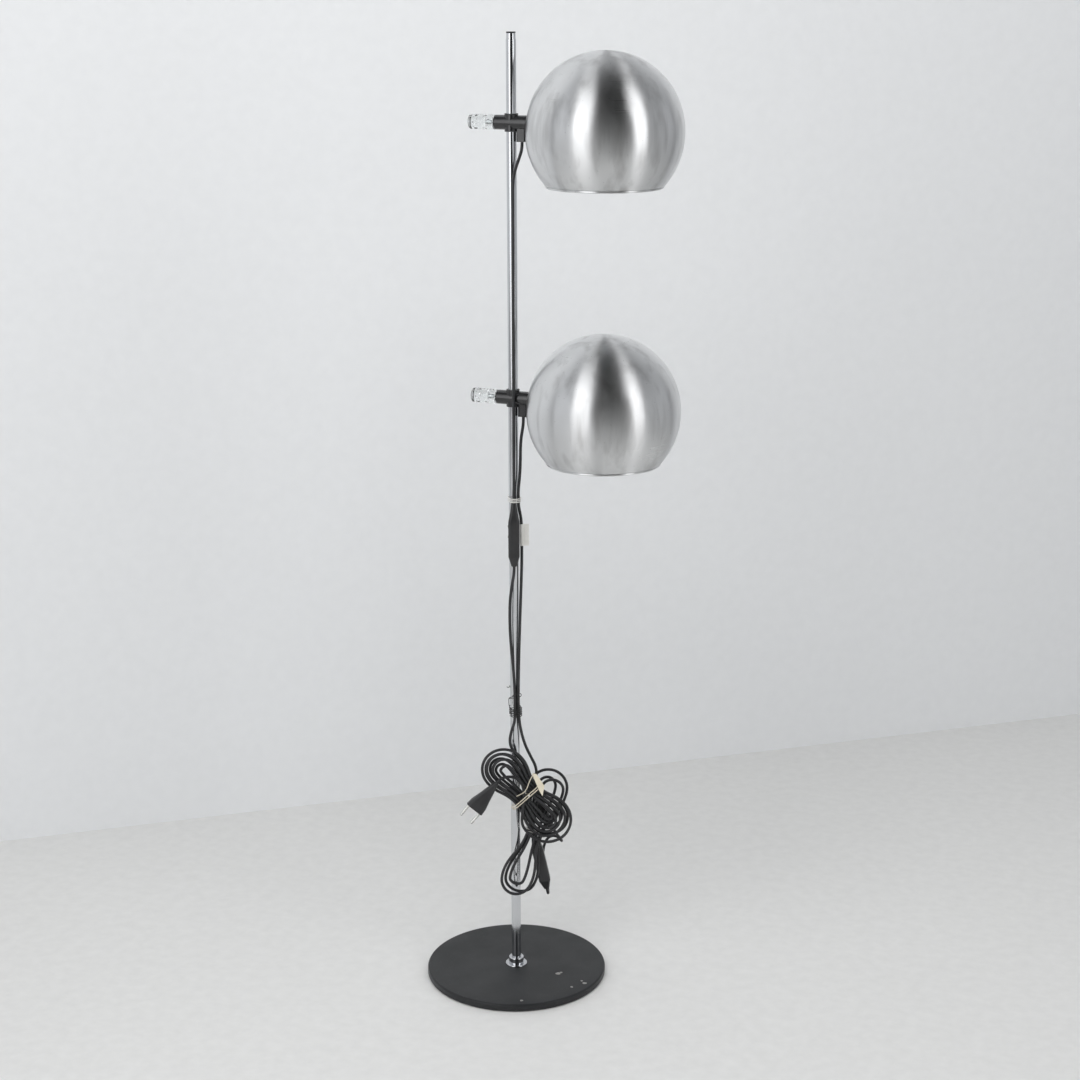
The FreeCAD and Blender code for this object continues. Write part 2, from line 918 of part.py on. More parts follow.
def s_bend(start, end, along):
    """Two equal arcs from start to end that both begin and finish along one direction."""
    middle = (start + end) / 2
    first = half_s(start, middle, along)
    back = half_s(end, middle, -along)
    last = back.Curve
    ends = (back.FirstParameter, back.LastParameter)
    half_way = back.valueAt((ends[0] + ends[1]) / 2)
    if isinstance(last, Part.Line):
        return [first, Part.LineSegment(middle, end).toShape()]
    return [first, Part.Arc(middle, half_way, end).toShape()]


def nearest_gap(edges, diameter, step=1.5):
    """The least gap of a tube to itself, measured on points along its centre line."""
    points = []
    travelled = []
    done = 0.0
    for edge in edges:
        count = max(2, int(edge.Length / step))
        for number in range(count):
            share = edge.Length * number / count
            points.append(edge.valueAt(edge.getParameterByLength(share)))
            travelled.append(done + share)
        done += edge.Length
    apart = math.pi * diameter
    least = 1e9
    for one in range(len(points)):
        for other in range(one + 1, len(points)):
            if travelled[other] - travelled[one] > apart:
                distance = points[one].distanceToPoint(points[other])
                least = min(least, distance)
    return least - diameter


class Hank:
    """Loops that lie side by side in two layers, drawn in at the waist.

    Run 0 goes up the frame's +x on its +y side. Each half turn steps inwards, the innermost
    run climbs to the second layer, and each half turn then steps outwards again.
    """

    def __init__(
        self, centre, along, across, outer, pitch, waist, half, inward_runs, runs
    ):
        self.centre = centre
        self.x = unit(along)
        self.y = unit(across)
        self.layer = unit(self.x.cross(self.y)) * LAYER_STEP
        self.outer = outer
        self.pitch = pitch
        self.waist = waist
        self.half = half
        self.inward_runs = inward_runs
        self.runs = runs

    def at(self, x, y, layer):
        return self.centre + self.x * x + self.y * y + self.layer * layer

    def offset(self, run):
        if run < self.inward_runs:
            return self.outer - self.pitch / 2 * run
        back = 2 * self.inward_runs - 2 - run
        return self.outer - self.pitch / 2 * back + self.pitch / 2

    def start(self):
        return self.at(-self.half, self.outer, 0)

    def finish(self):
        """Where the half turn after the last run ends."""
        side = 1 if self.runs % 2 == 1 else -1
        return self.at(side * self.half, -side * self.offset(self.runs), 1)

    def edges(self):
        """The centre line to the end of the half turn after the last run."""
        result = []
        for run in range(self.runs):
            side = 1 if run % 2 == 0 else -1
            off = self.offset(run)
            from_layer = 0 if run < self.inward_runs else 1
            to_layer = 0 if run < self.inward_runs - 1 else 1
            along = self.x * side
            begin = self.at(-side * self.half, side * off, from_layer)
            waist = self.at(0, side * self.waist * off, (from_layer + to_layer) / 2)
            finish = self.at(side * self.half, side * off, to_layer)
            result += s_bend(begin, waist, along)
            result += s_bend(waist, finish, along)
            following = self.offset(run + 1)
            radius = (off + following) / 2
            middle_y = side * (off - following) / 2
            far = self.at(side * (self.half + radius), middle_y, to_layer)
            turned_to = self.at(side * self.half, -side * following, to_layer)
            result.append(Part.Arc(finish, far, turned_to).toShape())
        return result


def make_hank(label, hank):
    edges = hank.edges()
    print(label, "least gap to itself", round(nearest_gap(edges, float(cord_od)), 2))
    return made(label, tube_along(edges, float(cord_r)))


def make_winding(label, centre, long_way, thick_way, half, radius, pitch, turns, wire):
    """A wire wound round a bundle: sides that climb half a step, then half-round ends."""
    long_way = unit(long_way)
    thick_way = unit(thick_way - long_way * thick_way.dot(long_way))
    step_way = long_way.cross(thick_way)
    edges = []
    reached = centre + thick_way * radius - long_way * half
    for number in range(2 * turns):
        side = 1 if number % 2 == 0 else -1
        middle = centre + step_way * (pitch / 2 * (number + 1))
        corner = middle + (thick_way * radius + long_way * half) * side
        edges += s_bend(reached, corner, long_way * side)
        tip = middle + long_way * ((half + radius) * side)
        reached = middle + (long_way * half - thick_way * radius) * side
        edges.append(Part.Arc(corner, tip, reached).toShape())
    edges.append(Part.LineSegment(reached, reached + long_way * wire).toShape())
    print(label, "least gap to itself", round(nearest_gap(edges, wire, 0.5), 2))
    return made(label, tube_along(edges, wire / 2))


def rounded_section(deep, wide, corner):
    """A rounded rectangle in the XY plane, as a wire of four lines and four arcs."""
    x = deep / 2
    y = wide / 2
    bend = corner * (1 - math.sqrt(0.5))
    corners = [(x, y), (-x, y), (-x, -y), (x, -y)]
    edges = []
    spots = []
    for number, (cx, cy) in enumerate(corners):
        sx = 1 if cx > 0 else -1
        sy = 1 if cy > 0 else -1
        on_side = Vector(cx, cy - sy * corner, 0)
        on_top = Vector(cx - sx * corner, cy, 0)
        middle = Vector(cx - sx * bend, cy - sy * bend, 0)
        first, last = (on_side, on_top) if number % 2 == 0 else (on_top, on_side)
        spots.append((first, middle, last))
    for number, (first, middle, last) in enumerate(spots):
        edges.append(Part.Arc(first, middle, last).toShape())
        edges.append(Part.LineSegment(last, spots[(number + 1) % 4][0]).toShape())
    return Part.Wire(edges)


def lofted(sections):
    """A ruled loft through rounded rectangles given as (distance, deep, wide, corner)."""
    wires = []
    for distance, deep, wide, corner in sections:
        wire = rounded_section(deep, wide, corner)
        wire.translate(Vector(0, 0, distance))
        wires.append(wire)
    return Part.makeLoft(wires, True, True)


def aimed(start, heading, face):
    """The placement that takes +Z to heading and +X as near as it can to face."""
    z = unit(heading)
    x = unit(face - z * face.dot(z))
    y = z.cross(x)
    turn = FreeCAD.Matrix(
        x.x, y.x, z.x, start.x, x.y, y.y, z.y, start.y, x.z, y.z, z.z, start.z, 0, 0, 0, 1
    )
    return FreeCAD.Placement(turn)


def placed(item, where):
    item.Placement = where
    return item


# ---------------------------------------------------------------- switches and plugs

PIVOT_AT = 39.0
PIVOT_IN = 5.0


def make_switch(name, where):
    """An in-line switch, drawn down its cord: case, cover and a rocker on trunnions."""
    deep = float(switch_thick)
    wide = float(switch_wide)
    long = float(switch_length)
    body = lofted(
        [
            (0, 6.8, 6.8, 3.3),
            (0.16 * long, 0.68 * deep, 0.72 * wide, 3.4),
            (0.30 * long, deep, wide, 3.4),
            (0.84 * long, deep, wide, 3.4),
            (long, 7.4, 7.4, 3.3),
        ]
    )
    pivot_x = deep / 2 - PIVOT_IN
    half = float(rocker_length) / 2
    rocker_half = float(rocker_wide) / 2
    side_gap = float(gap)
    well = Part.makeBox(
        deep,
        2 * (rocker_half + side_gap),
        2 * half + 2.4,
        Vector(pivot_x - 3.2, -rocker_half - side_gap, PIVOT_AT - half - 1.2),
    )
    seat_r = 1.0
    reach = rocker_half + 1.1
    way = Vector(0, 1, 0)
    seat = Part.makeCylinder(
        seat_r + float(fit), 2 * reach + 0.4, Vector(pivot_x, -reach - 0.2, PIVOT_AT), way
    )
    body = body.cut(well).cut(seat)
    far = 2 * deep
    front = Part.makeBox(far, far, 2 * long, Vector(pivot_x, -deep, -long / 2))
    keep(placed(made(f"{name}_cover", body.common(front)), where))
    keep(placed(made(f"{name}_case", body.cut(front)), where))
    crown = PIVOT_IN + 0.6
    dip = PIVOT_IN - 0.8
    low = 2.0
    outline = [
        (-half, low),
        (-half + 0.7, crown),
        (0, dip),
        (half - 0.7, crown),
        (half, low),
        (2.2, -2.0),
        (-2.2, -2.0),
    ]
    corners = [Vector(pivot_x + v, -rocker_half, PIVOT_AT + u) for u, v in outline]
    face = Part.Face(Part.makePolygon(corners + corners[:1]))
    rocker = face.extrude(Vector(0, 2 * rocker_half, 0))
    trunnion = Part.makeCylinder(seat_r, 2 * reach, Vector(pivot_x, -reach, PIVOT_AT), way)
    rocker = rocker.fuse(trunnion).removeSplitter()
    rocker.rotate(Vector(pivot_x, 0, PIVOT_AT), way, -float(rocker_tilt))
    keep(placed(made(f"{name}_rocker", rocker), where))


def make_plug(name, where):
    """A flat two-pin plug, drawn from its cord to its face."""
    wide = float(plug_wide)
    deep = float(plug_thick)
    long = float(plug_length)
    body = lofted(
        [
            (0, 6.6, 6.6, 3.2),
            (0.12 * long, 0.58 * deep, 0.34 * wide, 3.4),
            (0.55 * long, 0.80 * deep, 0.69 * wide, 4.0),
            (0.80 * long, 0.97 * deep, 0.93 * wide, 4.6),
            (long, deep, wide, 4.8),
        ]
    )
    keep(placed(made(f"{name}_body", body), where))
    pins = []
    radius = float(pin_od) / 2
    for side in (-1, 1):
        root = Vector(0, side * float(pin_spacing) / 2, long)
        straight = float(pin_length) - radius
        pin = Part.makeCylinder(radius, straight, root)
        tip = Part.makeSphere(radius, root + Vector(0, 0, straight))
        pins.append(pin.fuse(tip).removeSplitter())
    keep(placed(made(f"{name}_pins", Part.makeCompound(pins)), where))


# ---------------------------------------------------------------- routes

gland_x = float(box_start + box_long / 2)
gland_across = gland_x * math.cos(VIEW_TURN)
gland_ahead = gland_x * math.sin(VIEW_TURN)


def gland(arm_z):
    return (gland_across, gland_ahead, float(arm_z - box_low))


def below_gland(arm_z, drop):
    return (gland_across, gland_ahead, float(arm_z - box_low) - drop)


def as_seen(point):
    """A point's across, ahead and up."""
    return (point.dot(ACROSS), point.dot(AHEAD), point.z)


def ahead_of(start, heading, distance):
    """The point of a route that lies straight ahead of another one."""
    return as_seen(seen(*start) + unit(seen(*heading)) * distance)


switch_a_top = (0.3, 15.0, 686.4)
switch_a_low = ahead_of(switch_a_top, (0, 0, -1), float(switch_length))
switch_b_top = (24.9, -4.5, 207.0)
switch_b_heading = (0.209, -0.05, -0.976)
switch_b_low = ahead_of(switch_b_top, switch_b_heading, float(switch_length))

upper_hank = Hank(
    centre=seen(13.9, 13.6, 274.0),
    along=seen(0.656, 0, -0.755),
    across=seen(0.755, 0, 0.656),
    outer=28.0,
    pitch=7.0,
    waist=0.655,
    half=46.0,
    inward_runs=8,
    runs=15,
)

lower_hank = Hank(
    centre=seen(26.0, 9.3, 211.0),
    along=seen(-0.334, 0.16, -0.943),
    across=seen(-0.943, 0, 0.334),
    outer=24.0,
    pitch=11.0,
    waist=0.42,
    half=66.0,
    inward_runs=4,
    runs=6,
)


def on_upper_hank(x, y, layer):
    return as_seen(upper_hank.at(x, y, layer))


def on_lower_hank(x, y, layer):
    return as_seen(lower_hank.at(x, y, layer))


TAIL_LAYER = 2.15
LABEL_BELOW_BEND = 3.3
TAG_CORNERS = [(22.9, 308.5), (29.1, 307.8), (40.1, 290.1), (37.4, 275.2), (32.5, 284.1)]

plug_a_tail = on_upper_hank(-40.4, -16.7, TAIL_LAYER + 0.2)
plug_a_heading = as_seen(
    upper_hank.x * 0.152 - upper_hank.y * 0.988 + unit(upper_hank.layer) * 0.1
)
plug_b_tail = (51.5, -16, 209.5)
plug_b_heading = (-0.55, 0, 0.835)

UPPER_BEND = [
    gland(upper_arm_z),
    below_gland(upper_arm_z, 8.5),
    (10.6, 7.5, 1138),
    (5.2, 11.2, 1124),
    (1.53, 13.68, 1109),
    (1.5, 13.7, 1094),
]

UPPER_RUN = [
    (1.5, 13.7, 1094),
    (0.8, 14.1, 714),
    (0.3, 15.0, 700),
    switch_a_top,
]

UPPER_MIDDLE = [
    switch_a_low,
    (0.3, 15.0, 590),
    (-2.4, 14.2, 575),
    (-5.6, 12.8, 552),
    (-6.2, 11.7, 522),
    (-5.0, 10.7, 490),
    (-2.2, 9.8, 459),
    (-0.2, 9.3, 430),
    (0.2, 9.2, 403),
    (0.3, 9.5, 378),
    (-5.0, 11.5, 364),
    (-7.6, 13.0, 350),
    as_seen(upper_hank.start() - upper_hank.x * 14),
    as_seen(upper_hank.start()),
]

UPPER_TAIL = [
    as_seen(upper_hank.finish()),
    as_seen(upper_hank.finish() - upper_hank.x * 10),
    on_upper_hank(25, -29, 1.75),
    on_upper_hank(14, -17, TAIL_LAYER),
    on_upper_hank(2, -4, TAIL_LAYER),
    on_upper_hank(-9, 5, TAIL_LAYER),
    on_upper_hank(-20, 9.5, TAIL_LAYER),
    on_upper_hank(-30, 7, TAIL_LAYER),
    on_upper_hank(-37.5, 0, TAIL_LAYER),
    ahead_of(plug_a_tail, plug_a_heading, -8),
    plug_a_tail,
]

LOWER_BEND = [
    gland(lower_arm_z),
    below_gland(lower_arm_z, 8.5),
    (12.2, 5.2, 783),
    (9.6, 4.6, 767),
    (9.4, 4.6, 751),
]

LOWER_RUN = [
    (9.4, 4.6, 751),
    (9.2, 4.6, 735),
    (7.9, 6.9, 716),
    (6.2, 9.6, 703),
    (6.2, 9.6, 693),
]

LOWER_MIDDLE = [
    (6.2, 9.6, 693),
    (6.2, 9.6, 683),
    (8.2, 6.6, 672),
    (10.3, 4.0, 658),
    (10.6, 3.7, 614),
    (10.0, 4.4, 586),
    (8.6, 5.5, 548),
    (7.1, 6.6, 508),
    (5.8, 7.6, 468),
    (5.0, 8.2, 430),
    (4.8, 8.2, 403),
    (5.6, 7.8, 378),
    (9.4, 5.4, 356),
    (14.6, 2.8, 338),
    (22.0, -0.4, 321),
    (28.0, -2.8, 308),
    as_seen(lower_hank.start() - lower_hank.x * 14),
    as_seen(lower_hank.start()),
]

LOWER_LINK = [
    as_seen(lower_hank.finish()),
    as_seen(lower_hank.finish() + lower_hank.x * 10),
    on_lower_hank(-44, 26.0, 1.0),
    on_lower_hank(-32, 20.4, 1.0),
    on_lower_hank(-22, 16.4, 1.15),
    on_lower_hank(-14, 12.2, 1.65),
    ahead_of(switch_b_top, switch_b_heading, -9),
    switch_b_top,
]

LOWER_TAIL = [
    switch_b_low,
    ahead_of(switch_b_low, switch_b_heading, 5),
    (45.0, -14.5, 110.5),
    (45.0, -23.0, 111.5),
    (44.0, -26.0, 121),
    (41.0, -26.5, 136),
    (38.0, -27.5, 152),
    (37.5, -30.0, 166),
    (40.0, -34.0, 179),
    (46.5, -37.5, 188),
    (56.0, -37.5, 189),
    (63.5, -30.0, 186.5),
    (64.5, -20.0, 187.5),
    ahead_of(plug_b_tail, plug_b_heading, -16),
    plug_b_tail,
]


def make_cords():
    keep(free_cord("upper_lead_bend", UPPER_BEND))
    keep(free_cord("upper_lead_run", UPPER_RUN))
    keep(free_cord("upper_lead_middle", UPPER_MIDDLE))
    keep(make_hank("upper_lead_hank", upper_hank))
    keep(free_cord("upper_lead_tail", UPPER_TAIL))
    keep(free_cord("lower_lead_bend", LOWER_BEND))
    keep(free_cord("lower_lead_run", LOWER_RUN))
    keep(free_cord("lower_lead_middle", LOWER_MIDDLE))
    keep(make_hank("lower_lead_hank", lower_hank))
    keep(free_cord("lower_lead_link", LOWER_LINK))
    keep(free_cord("lower_lead_tail", LOWER_TAIL))


def make_cord_pieces():
    down = Vector(0, 0, -1)
    make_switch("switch_a", aimed(seen(*switch_a_top), down, -ACROSS))
    make_switch("switch_b", aimed(seen(*switch_b_top), seen(*switch_b_heading), -AHEAD))
    tilted = upper_hank.layer
    make_plug("plug_a", aimed(seen(*plug_a_tail), seen(*plug_a_heading), tilted))
    make_plug("plug_b", aimed(seen(*plug_b_tail), seen(*plug_b_heading), AHEAD))


def make_ties():
    """Wire round the pole and cords, and wire or string round each hank's waist."""
    wire = float(wire_od)
    string = float(string_od)
    cord = float(cord_od)
    clear = float(gap)
    hug = float(pole_r) + clear + wire / 2
    for label, across, ahead, height, pitch, turns in (
        ("tie_white", 1.9, 11.0, 690.0, 2.2, 3),
        ("tie_black", 1.8, 5.1, 390.0, 2.6, 5),
    ):
        to_cords = seen(across, ahead, 0)
        middle = to_cords / 2 + UP * height
        half = to_cords.Length / 2
        keep(make_winding(label, middle, to_cords, ACROSS, half, hug, pitch, turns, wire))
    for label, hank, spot, half, layers, pitch, strand in (
        ("tie_upper_hank", upper_hank, (2.0, -0.6), 17.8, TAIL_LAYER, 3.2, string),
        ("tie_lower_hank", lower_hank, (-3.0, 0.0), 9.6, 1.0, 3.0, wire),
    ):
        middle = hank.at(*spot, layers / 2)
        thick = (layers * LAYER_STEP + cord) / 2 + clear + strand / 2
        keep(
            make_winding(label, middle, hank.y, hank.layer, half, thick, pitch, 2, strand)
        )


def make_label():
    """A blank paper flag folded round the second cord."""
    high = float(label_high)
    thick = float(label_thick)
    inner = float(cord_r + 2 * fit)
    top = seen(*LOWER_MIDDLE[3])
    low = seen(*LOWER_MIDDLE[4])
    start = top + unit(low - top) * LABEL_BELOW_BEND
    sleeve = Part.makeCylinder(inner + thick, high)
    flag = Part.makeBox(
        float(label_reach), 2 * thick, high, Vector(inner, -thick, 0)
    )
    hole = Part.makeCylinder(inner, high)
    shape = sleeve.fuse(flag).cut(hole).removeSplitter()
    keep(placed(made("cord_label", shape), aimed(start, low - top, ACROSS)))


def make_tag():
    """A blank card tag that lies on the front strands of the upper hank's tie."""
    front = as_seen(upper_hank.at(0, 0, TAIL_LAYER / 2))[1]
    thick = (TAIL_LAYER * LAYER_STEP + float(cord_od)) / 2 + float(gap + string_od + gap)
    corners = [seen(across, front + thick, up) for across, up in TAG_CORNERS]
    face = Part.Face(Part.makePolygon(corners + corners[:1]))
    keep(made("tie_tag", face.extrude(AHEAD * float(tag_thick))))


make_cords()
make_cord_pieces()
make_ties()
make_label()
make_tag()
doc.recompute()


# ---------------------------------------------------------------- writing

os.makedirs("parts", exist_ok=True)
for item in kept:
    shape = item.Shape
    state = item.State
    good = not shape.isNull() and shape.isValid()
    good = good and "Invalid" not in state and "Error" not in state
    if not good:
        raise ValueError(f"{item.Label} is not a good solid: {state}")
    print(item.Label, "solids", len(shape.Solids), "volume", round(shape.Volume, 1))
    shape.exportStep(f"parts/{item.Label}.step")
print("nodes", len(kept))
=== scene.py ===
# %% [markdown]
# # A floor lamp with two spun ball shades
#
# The lamp is a chrome pole on a heavy painted disc. Two aluminium balls hang on short black arms
# that clamp round the pole, and each arm ends in a clear knob. Two black leads run down the pole
# and are bundled up near the foot. The imported model is the fixed frame: every piece made here
# sits where its CAD piece sits, and all but the short stretches of lead at the heads ride on the
# body that carries them. Lengths are in metres.

import math

import bmesh
import bpy
from mathutils import Matrix, Vector


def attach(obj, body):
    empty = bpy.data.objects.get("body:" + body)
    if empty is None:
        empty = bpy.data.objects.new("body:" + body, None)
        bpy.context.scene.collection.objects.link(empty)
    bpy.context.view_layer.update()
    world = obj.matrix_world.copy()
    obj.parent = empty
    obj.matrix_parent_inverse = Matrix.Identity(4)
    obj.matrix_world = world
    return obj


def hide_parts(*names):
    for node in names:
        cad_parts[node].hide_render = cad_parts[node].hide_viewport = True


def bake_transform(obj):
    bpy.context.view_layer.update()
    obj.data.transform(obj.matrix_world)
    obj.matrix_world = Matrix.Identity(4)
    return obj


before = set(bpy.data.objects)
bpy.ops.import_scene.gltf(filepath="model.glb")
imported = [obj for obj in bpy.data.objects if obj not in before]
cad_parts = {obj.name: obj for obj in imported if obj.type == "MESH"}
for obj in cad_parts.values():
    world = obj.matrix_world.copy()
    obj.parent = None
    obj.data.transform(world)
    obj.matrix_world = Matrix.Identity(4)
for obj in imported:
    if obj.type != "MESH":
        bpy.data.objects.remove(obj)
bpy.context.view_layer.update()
MM = 0.001
X = Vector((1, 0, 0))
Z = Vector((0, 0, 1))

# %% [markdown]
# ## The camera
#
# The photograph was taken from a standing height, a little to the side of the arms. The camera
# comes first, because the cords are measured against what it sees. Two directions are handy from
# here on: across, to the right in the picture, and ahead, from the pole towards the viewer.

# %% Place the camera
VIEW_TURN = math.radians(22)
VIEW_DOWN = math.radians(15.3)
VIEW_LEAN = math.radians(0.15)
LENS = 69.33
SENSOR = 36.0
EYE = (36.8, 2682, 1365)
ACROSS = Vector((math.cos(VIEW_TURN), math.sin(VIEW_TURN), 0))
AHEAD = Vector((math.sin(VIEW_TURN), -math.cos(VIEW_TURN), 0))


def seen(across, ahead, up):
    """A point given in millimetres as the camera sees it."""
    return (ACROSS * across + AHEAD * ahead + Z * up) * MM


camera_data = bpy.data.cameras.new("camera")
camera_data.sensor_width = SENSOR
camera_data.lens = LENS
camera = bpy.data.objects.new("camera", camera_data)
camera.location = seen(*EYE)
camera.rotation_euler = (math.radians(90) - VIEW_DOWN, VIEW_LEAN, VIEW_TURN)
bpy.context.scene.collection.objects.link(camera)
bpy.context.scene.camera = camera
print("camera", [round(value, 3) for value in camera.location])

# %% [markdown]
# ## Finishes: shared effects
#
# Every finish on the lamp has some unevenness: patches where a hand has dulled it, fine specks,
# scratches. A shader node group works such an effect out once, and each material sets its own
# scale and limits. A group gives out only values and colours, so the shader stays in the
# material.


# %% Make the effect groups
def new_group(name, sockets, outputs):
    group = bpy.data.node_groups.new(name, "ShaderNodeTree")
    for label, kind, value in sockets:
        item = group.interface.new_socket(label, in_out="INPUT", socket_type=kind)
        if value is not None:
            item.default_value = value
    for label, kind in outputs:
        group.interface.new_socket(label, in_out="OUTPUT", socket_type=kind)
    return group


def add(tree, kind, settings=None, **inputs):
    """Adds a node; an input is a value or another node's output socket."""
    item = tree.nodes.new(kind)
    for label, value in (settings or {}).items():
        setattr(item, label, value)
    for label, value in inputs.items():
        key = int(label[1:]) if label[0] == "i" and label[1:].isdigit() else label
        key = key.replace("_", " ") if isinstance(key, str) else key
        if isinstance(value, bpy.types.NodeSocket):
            tree.links.new(value, item.inputs[key])
        else:
            item.inputs[key].default_value = value
    return item


def make_mottle():
    """Soft patches between two values, for roughness and tone."""
    group = new_group(
        "mottle",
        [
            ("Vector", "NodeSocketVector", None),
            ("Scale", "NodeSocketFloat", 40.0),
            ("Detail", "NodeSocketFloat", 4.0),
            ("Low", "NodeSocketFloat", 0.0),
            ("High", "NodeSocketFloat", 1.0),
        ],
        [("Value", "NodeSocketFloat")],
    )
    given = group.nodes.new("NodeGroupInput").outputs
    noise = add(
        group, "ShaderNodeTexNoise", Vector=given["Vector"], Scale=given["Scale"],
        Detail=given["Detail"],
    )
    spread = add(
        group, "ShaderNodeMapRange", Value=noise.outputs["Fac"], From_Min=0.3, From_Max=0.7,
        To_Min=given["Low"], To_Max=given["High"],
    )
    result = group.nodes.new("NodeGroupOutput")
    group.links.new(spread.outputs["Result"], result.inputs["Value"])
    return group


def make_specks():
    """Small scattered specks: 1 on a speck and 0 elsewhere."""
    group = new_group(
        "specks",
        [
            ("Vector", "NodeSocketVector", None),
            ("Scale", "NodeSocketFloat", 300.0),
            ("Size", "NodeSocketFloat", 0.12),
            ("Amount", "NodeSocketFloat", 0.5),
        ],
        [("Mask", "NodeSocketFloat")],
    )
    given = group.nodes.new("NodeGroupInput").outputs
    cells = add(
        group, "ShaderNodeTexVoronoi", Vector=given["Vector"], Scale=given["Scale"]
    )
    near = add(
        group, "ShaderNodeMath", {"operation": "LESS_THAN"}, i0=cells.outputs["Distance"],
        i1=given["Size"],
    )
    chance = add(
        group, "ShaderNodeMath", {"operation": "LESS_THAN"}, i1=given["Amount"],
    )
    split = add(group, "ShaderNodeSeparateColor", Color=cells.outputs["Color"])
    group.links.new(split.outputs[0], chance.inputs[0])
    both = add(
        group, "ShaderNodeMath", {"operation": "MULTIPLY"}, i0=near.outputs[0],
        i1=chance.outputs[0],
    )
    result = group.nodes.new("NodeGroupOutput")
    group.links.new(both.outputs[0], result.inputs["Mask"])
    return group


def make_scratches():
    """Long thin lines along one way of the given coordinates."""
    group = new_group(
        "scratches",
        [
            ("Vector", "NodeSocketVector", None),
            ("Scale", "NodeSocketFloat", 60.0),
            ("Limit", "NodeSocketFloat", 0.62),
        ],
        [("Mask", "NodeSocketFloat")],
    )
    given = group.nodes.new("NodeGroupInput").outputs
    wide = add(
        group, "ShaderNodeTexNoise", {"noise_type": "RIDGED_MULTIFRACTAL"},
        Vector=given["Vector"], Scale=given["Scale"], Detail=2.0,
    )
    patch = add(
        group, "ShaderNodeTexNoise", Vector=given["Vector"], Scale=12.0, Detail=1.0
    )
    line = add(
        group, "ShaderNodeMapRange", Value=wide.outputs["Fac"], From_Min=given["Limit"],
        From_Max=1.0,
    )
    some = add(
        group, "ShaderNodeMapRange", Value=patch.outputs["Fac"], From_Min=0.5, From_Max=0.7
    )
    both = add(
        group, "ShaderNodeMath", {"operation": "MULTIPLY"}, i0=line.outputs[0],
        i1=some.outputs[0],
    )
    result = group.nodes.new("NodeGroupOutput")
    group.links.new(both.outputs[0], result.inputs["Mask"])
    return group


MOTTLE = make_mottle()
SPECKS = make_specks()
SCRATCHES = make_scratches()
print("effect groups", [group.name for group in (MOTTLE, SPECKS, SCRATCHES)])

# %% [markdown]
# ## Finishes: the common recipe
#
# A finish starts from one Principled shader whose fixed numbers are set on its own sockets. On
# top come the patterns that change over the surface: patches in the roughness, a shift in tone
# and a fine bump. Each reads Object coordinates, so that the pattern keeps its real size.


# %% A function for plain finishes
def place_group(tree, group, **inputs):
    item = add(tree, "ShaderNodeGroup", {"node_tree": group})
    for label, value in inputs.items():
        if isinstance(value, bpy.types.NodeSocket):
            tree.links.new(value, item.inputs[label])
        else:
            item.inputs[label].default_value = value
    return item


def start_material(name, color, roughness, metallic=0.0, **fixed):
    material = bpy.data.materials.new(name)
    material.use_nodes = True
    tree = material.node_tree
    shader = tree.nodes["Principled BSDF"]
    shader.inputs["Base Color"].default_value = (*color, 1)
    shader.inputs["Roughness"].default_value = roughness
    shader.inputs["Metallic"].default_value = metallic
    for label, value in fixed.items():
        shader.inputs[label.replace("_", " ")].default_value = value
    where = tree.nodes.new("ShaderNodeTexCoord").outputs["Object"]
    return material, tree, shader, where


def tone(tree, mask, dark, light):
    """A colour between two, chosen by a mask."""
    mix = add(tree, "ShaderNodeMix", {"data_type": "RGBA"})
    mix.inputs[6].default_value = (*dark, 1)
    mix.inputs[7].default_value = (*light, 1)
    tree.links.new(mask, mix.inputs[0])
    return mix.outputs[2]


def bumped(tree, shader, height, strength, distance):
    bump = add(tree, "ShaderNodeBump", Height=height, Strength=strength, Distance=distance)
    tree.links.new(bump.outputs["Normal"], shader.inputs["Normal"])
    return bump


def plain_finish(name, dark, light, rough, metallic=0.0, grain=1500.0, bump=0.1, **fixed):
    """A finish with patches of tone and roughness and a fine grain."""
    material, tree, shader, where = start_material(name, light, rough[0], metallic, **fixed)
    patches = place_group(tree, MOTTLE, Vector=where, Scale=55.0)
    shader_color = tone(tree, patches.outputs[0], dark, light)
    tree.links.new(shader_color, shader.inputs["Base Color"])
    dull = place_group(tree, MOTTLE, Vector=where, Scale=140.0, Low=rough[0], High=rough[1])
    tree.links.new(dull.outputs[0], shader.inputs["Roughness"])
    skin = place_group(tree, MOTTLE, Vector=where, Scale=grain, Detail=2.0)
    bumped(tree, shader, skin.outputs[0], bump, 0.0002)
    return material


BLACK = (0.012, 0.012, 0.013)
SOFT_BLACK = (0.022, 0.022, 0.024)
cord_skin = plain_finish("cord_skin", BLACK, SOFT_BLACK, (0.32, 0.5), grain=900.0)
print("first finish", cord_skin.name)

# %% [markdown]
# ## The leads: routes
#
# Each lead is a length of round cord. Its route is a list of points, the same ones that the
# solid model uses, and a NURBS spline of order 3 rounds them into one smooth line. The bundled
# part is a hank: loops folded side by side in two layers and drawn in at the waist by a tie. Its
# points come from a formula, because every loop follows the same rule.


# %% Draw a spline along points
def route_curve(name, points, diameter, material=cord_skin):
    curve = bpy.data.curves.new(name, "CURVE")
    curve.dimensions = "3D"
    spline = curve.splines.new("NURBS")
    spline.points.add(len(points) - 1)
    for spot, point in zip(spline.points, points):
        spot.co = (*point, 1)
    spline.order_u = 3
    spline.use_endpoint_u = True
    spline.resolution_u = 6
    curve.bevel_depth = diameter / 2
    curve.bevel_resolution = 4
    curve.use_fill_caps = True
    curve.materials.append(material)
    item = bpy.data.objects.new(name, curve)
    bpy.context.scene.collection.objects.link(item)
    return item


